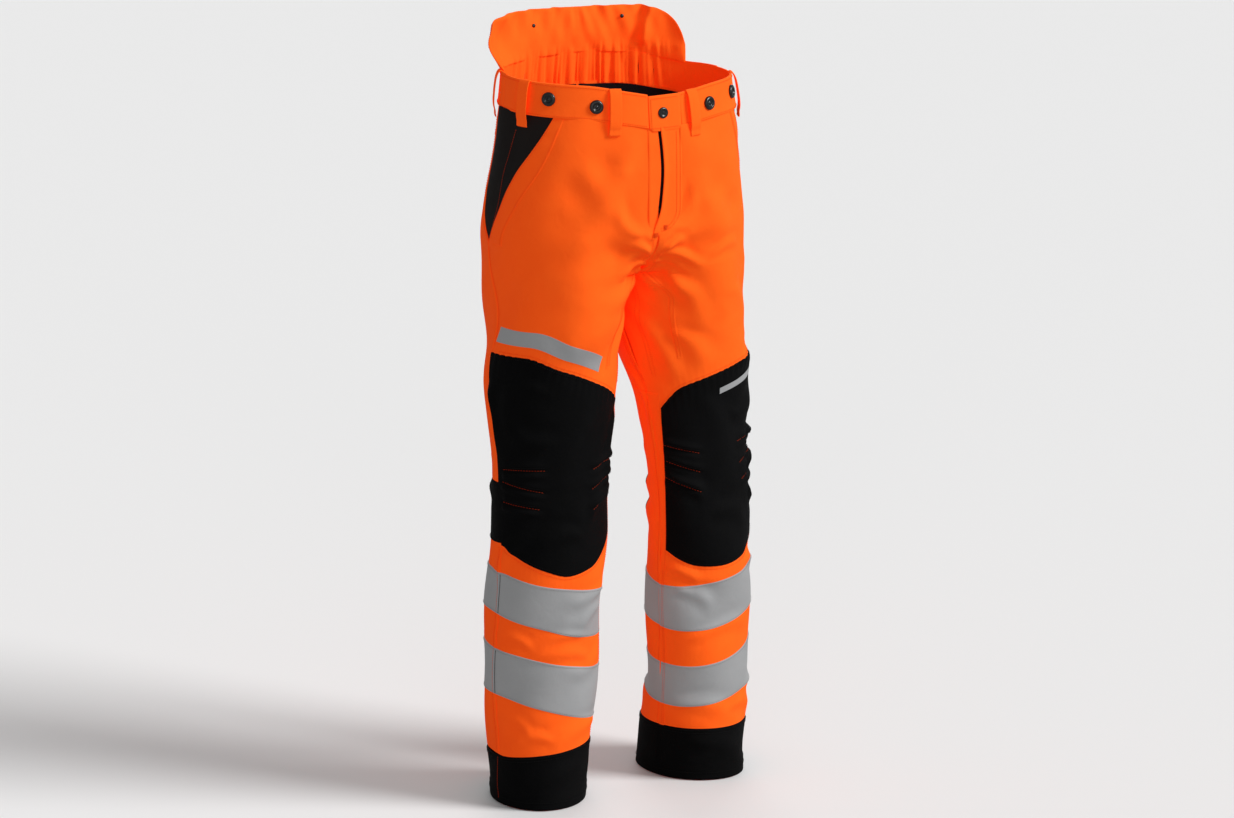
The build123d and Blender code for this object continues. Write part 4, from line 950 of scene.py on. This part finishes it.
o = trunk_shell_full("bib_cloth", ORANGE, BIB_END, lambda sd, s: w_top(sd)(s) - 1.5, bib_top, 0.6, 3.0, {-1: bib_bulge(-1), 1: bib_bulge(1)})
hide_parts("back_bib"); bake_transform(o)
for sd in (-1, 1):
    for dd in (1.0, -1.9):
        stitches(("bib_thread", THREAD_O), sd, along(lambda s, sd=sd: bib_top(sd)(s) - 4, BIB_END[sd] + 0.02, 0.998, 60), dd, rough=False, extra=bib_bulge(sd))
    for dz in (3, 7):
        stitches(("bib_thread", THREAD_O), sd, along(lambda s, sd=sd, dz=dz: w_top(sd)(s) + dz, BIB_END[sd] + 0.01, 0.998, 60), -1.9, rough=False, extra=bib_bulge(sd))
caps, rivets = [], []
for sd in (-1, 1):
    bs = {-1: 0.795, 1: 0.812}[sd]
    ex = float(bib_bulge(sd)(np.array(bs), np.array(1126.0)))
    p, w, u, n = frame_at(sd, bs, 1126.0, 1.9 + ex)
    caps.append(lathe([(r * 0.85, h * 0.85) for r, h in cap], p, n))
    caps.append(lathe([(0.01, 0), (1.8, 0), (1.8, -5.0), (0.01, -5.0)], p, n, 20))
    rivets.append(lathe([(0.01, -3.6), (2.7, -3.6), (2.9, -4.3), (2.5, -5.2), (1.4, -5.7), (0.01, -5.8)], p, n, 32))
o = joined("bib_button_caps", BUTTON, caps)
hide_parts("bib_brace_buttons"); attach(o, "back_bib")
o = joined("bib_rivet_heads", BUTTON, rivets)
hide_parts("bib_rivets"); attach(o, "back_bib")

# crotch gusset: a strap inside, along the rise from front to back
th_ = np.linspace(-1, 1, 61)
yy = np.where(th_ < 0, th_ * 108, th_ * 122)
zr = ZC + 6 + 42 * np.abs(th_) ** 2.2
V, F = [], []
for i, (y, z) in enumerate(zip(yy, zr)):
    for j, x in enumerate(np.linspace(-20, 20, 15)):
        V.append((x, y + Y0 + 4, z + 0.010 * x * x * 0.5 + 3.0)); 
for i, (y, z) in enumerate(zip(yy, zr)):
    for j, x in enumerate(np.linspace(-20, 20, 15)):
        V.append((x, y + Y0 + 4, z + 0.010 * x * x * 0.5 + 4.4))
N = 61 * 15
for i in range(60):
    for j in range(14):
        a, b, c, d_ = i * 15 + j, i * 15 + j + 1, (i + 1) * 15 + j + 1, (i + 1) * 15 + j
        F.append([a, d_, c, b]); F.append([a + N, b + N, c + N, d_ + N])
for i in range(60):
    for j, fl in ((0, 0), (14, 1)):
        a, d_ = i * 15 + j, (i + 1) * 15 + j
        F.append([a, a + N, d_ + N, d_] if not fl else [a, d_, d_ + N, a + N])
for j in range(14):
    for i, fl in ((0, 0), (60, 1)):
        a, b = i * 15 + j, i * 15 + j + 1
        F.append([a, b, b + N, a + N] if not fl else [a, a + N, b + N, b])
# the gusset is in the darker orange: painted shade
o = mesh("gusset_cloth", np.array(V), F, ORANGE_SHADED)
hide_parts("crotch_gusset"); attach(o, "seat")

made = flush_stitches()
for name, o in made.items():
    word = name.split("_")[0]
    sd = -1 if word == "right" else 1
    if "_hip_thread" in name:
        on_hip(o, sd)
    elif "_knee_thread" in name:
        on_knee(o, sd)
    elif name.startswith(("right_", "left_")):
        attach(o, word + "_shin")
    elif name == "fly_thread":
        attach(o, "fly_flap")
    elif name == "bib_thread":
        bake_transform(o)
    else:
        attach(o, "seat")

# CAD pieces that stay
keep = {"zip_tape": TAPE, "zip_teeth": BRASS, "zip_slider": BRASS, "zip_pull": BRASS, "zip_stops": STEEL}
for n, m in keep.items():
    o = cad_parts[n]
    o.data.materials.clear()
    o.data.materials.append(m)

# ---------------------------------------------------------------- stage, light, camera
bpy.ops.mesh.primitive_plane_add(size=80, location=(0, 0, -0.0005))
floor = bpy.context.object
floor.name = "floor"
m, nt, p = nodes_of("floor_paper")
lp = nt.nodes.new("ShaderNodeLightPath")
mx = nt.nodes.new("ShaderNodeMix")
mx.data_type = "RGBA"
mx.inputs["A"].default_value = (0.40, 0.40, 0.40, 1)
mx.inputs["B"].default_value = (0.83, 0.83, 0.83, 1)
nt.links.new(lp.outputs["Is Camera Ray"], mx.inputs["Factor"])
nt.links.new(mx.outputs["Result"], p.inputs["Base Color"])
p.inputs["Roughness"].default_value = 1.0
p.inputs["Specular IOR Level"].default_value = 0.0
floor.data.materials.append(m)
world = bpy.data.worlds.new("studio")
bpy.context.scene.world = world
world.use_nodes = True
world.node_tree.nodes["Background"].inputs[0].default_value = (1.0, 1.0, 1.0, 1)
world.node_tree.nodes["Background"].inputs[1].default_value = 0.31


def sun(name, azimuth, elevation, power, angle):
    L = bpy.data.lights.new(name, "SUN")
    L.energy, L.angle = power, math.radians(angle)
    o = bpy.data.objects.new(name, L)
    az, el = math.radians(azimuth), math.radians(elevation)
    d = Vector((math.sin(az) * math.cos(el), -math.cos(az) * math.cos(el), math.sin(el)))
    o.rotation_euler = d.to_track_quat("Z", "Y").to_euler()
    bpy.context.scene.collection.objects.link(o)


sun("key", 46, 34, 2.95, 24)
sun("fill", -28, 12, 0.38, 40)
sun("back", 150, 28, 0.85, 40)

cam = bpy.data.cameras.new("cam")
cam.sensor_width = 36.0
cam.lens = 155.7
cam.clip_end = 50
co = bpy.data.objects.new("cam", cam)
a, e = math.radians(-30), math.radians(15)
back = np.array([math.sin(a) * math.cos(e), -math.cos(a) * math.cos(e), math.sin(e)])
tgt = np.array([1.3009, -0.7511 + Y0, 568.577]) / 1000
pos = tgt + back * 7.78492
co.location = pos
right = np.array([math.cos(a), math.sin(a), 0.0])
upv = np.cross(back, right)
co.matrix_world = Matrix(((right[0], upv[0], back[0], pos[0]), (right[1], upv[1], back[1], pos[1]), (right[2], upv[2], back[2], pos[2]), (0, 0, 0, 1)))
bpy.context.scene.collection.objects.link(co)
bpy.context.scene.camera = co
bpy.context.scene.view_settings.view_transform = "Standard"

bpy.context.view_layer.update()
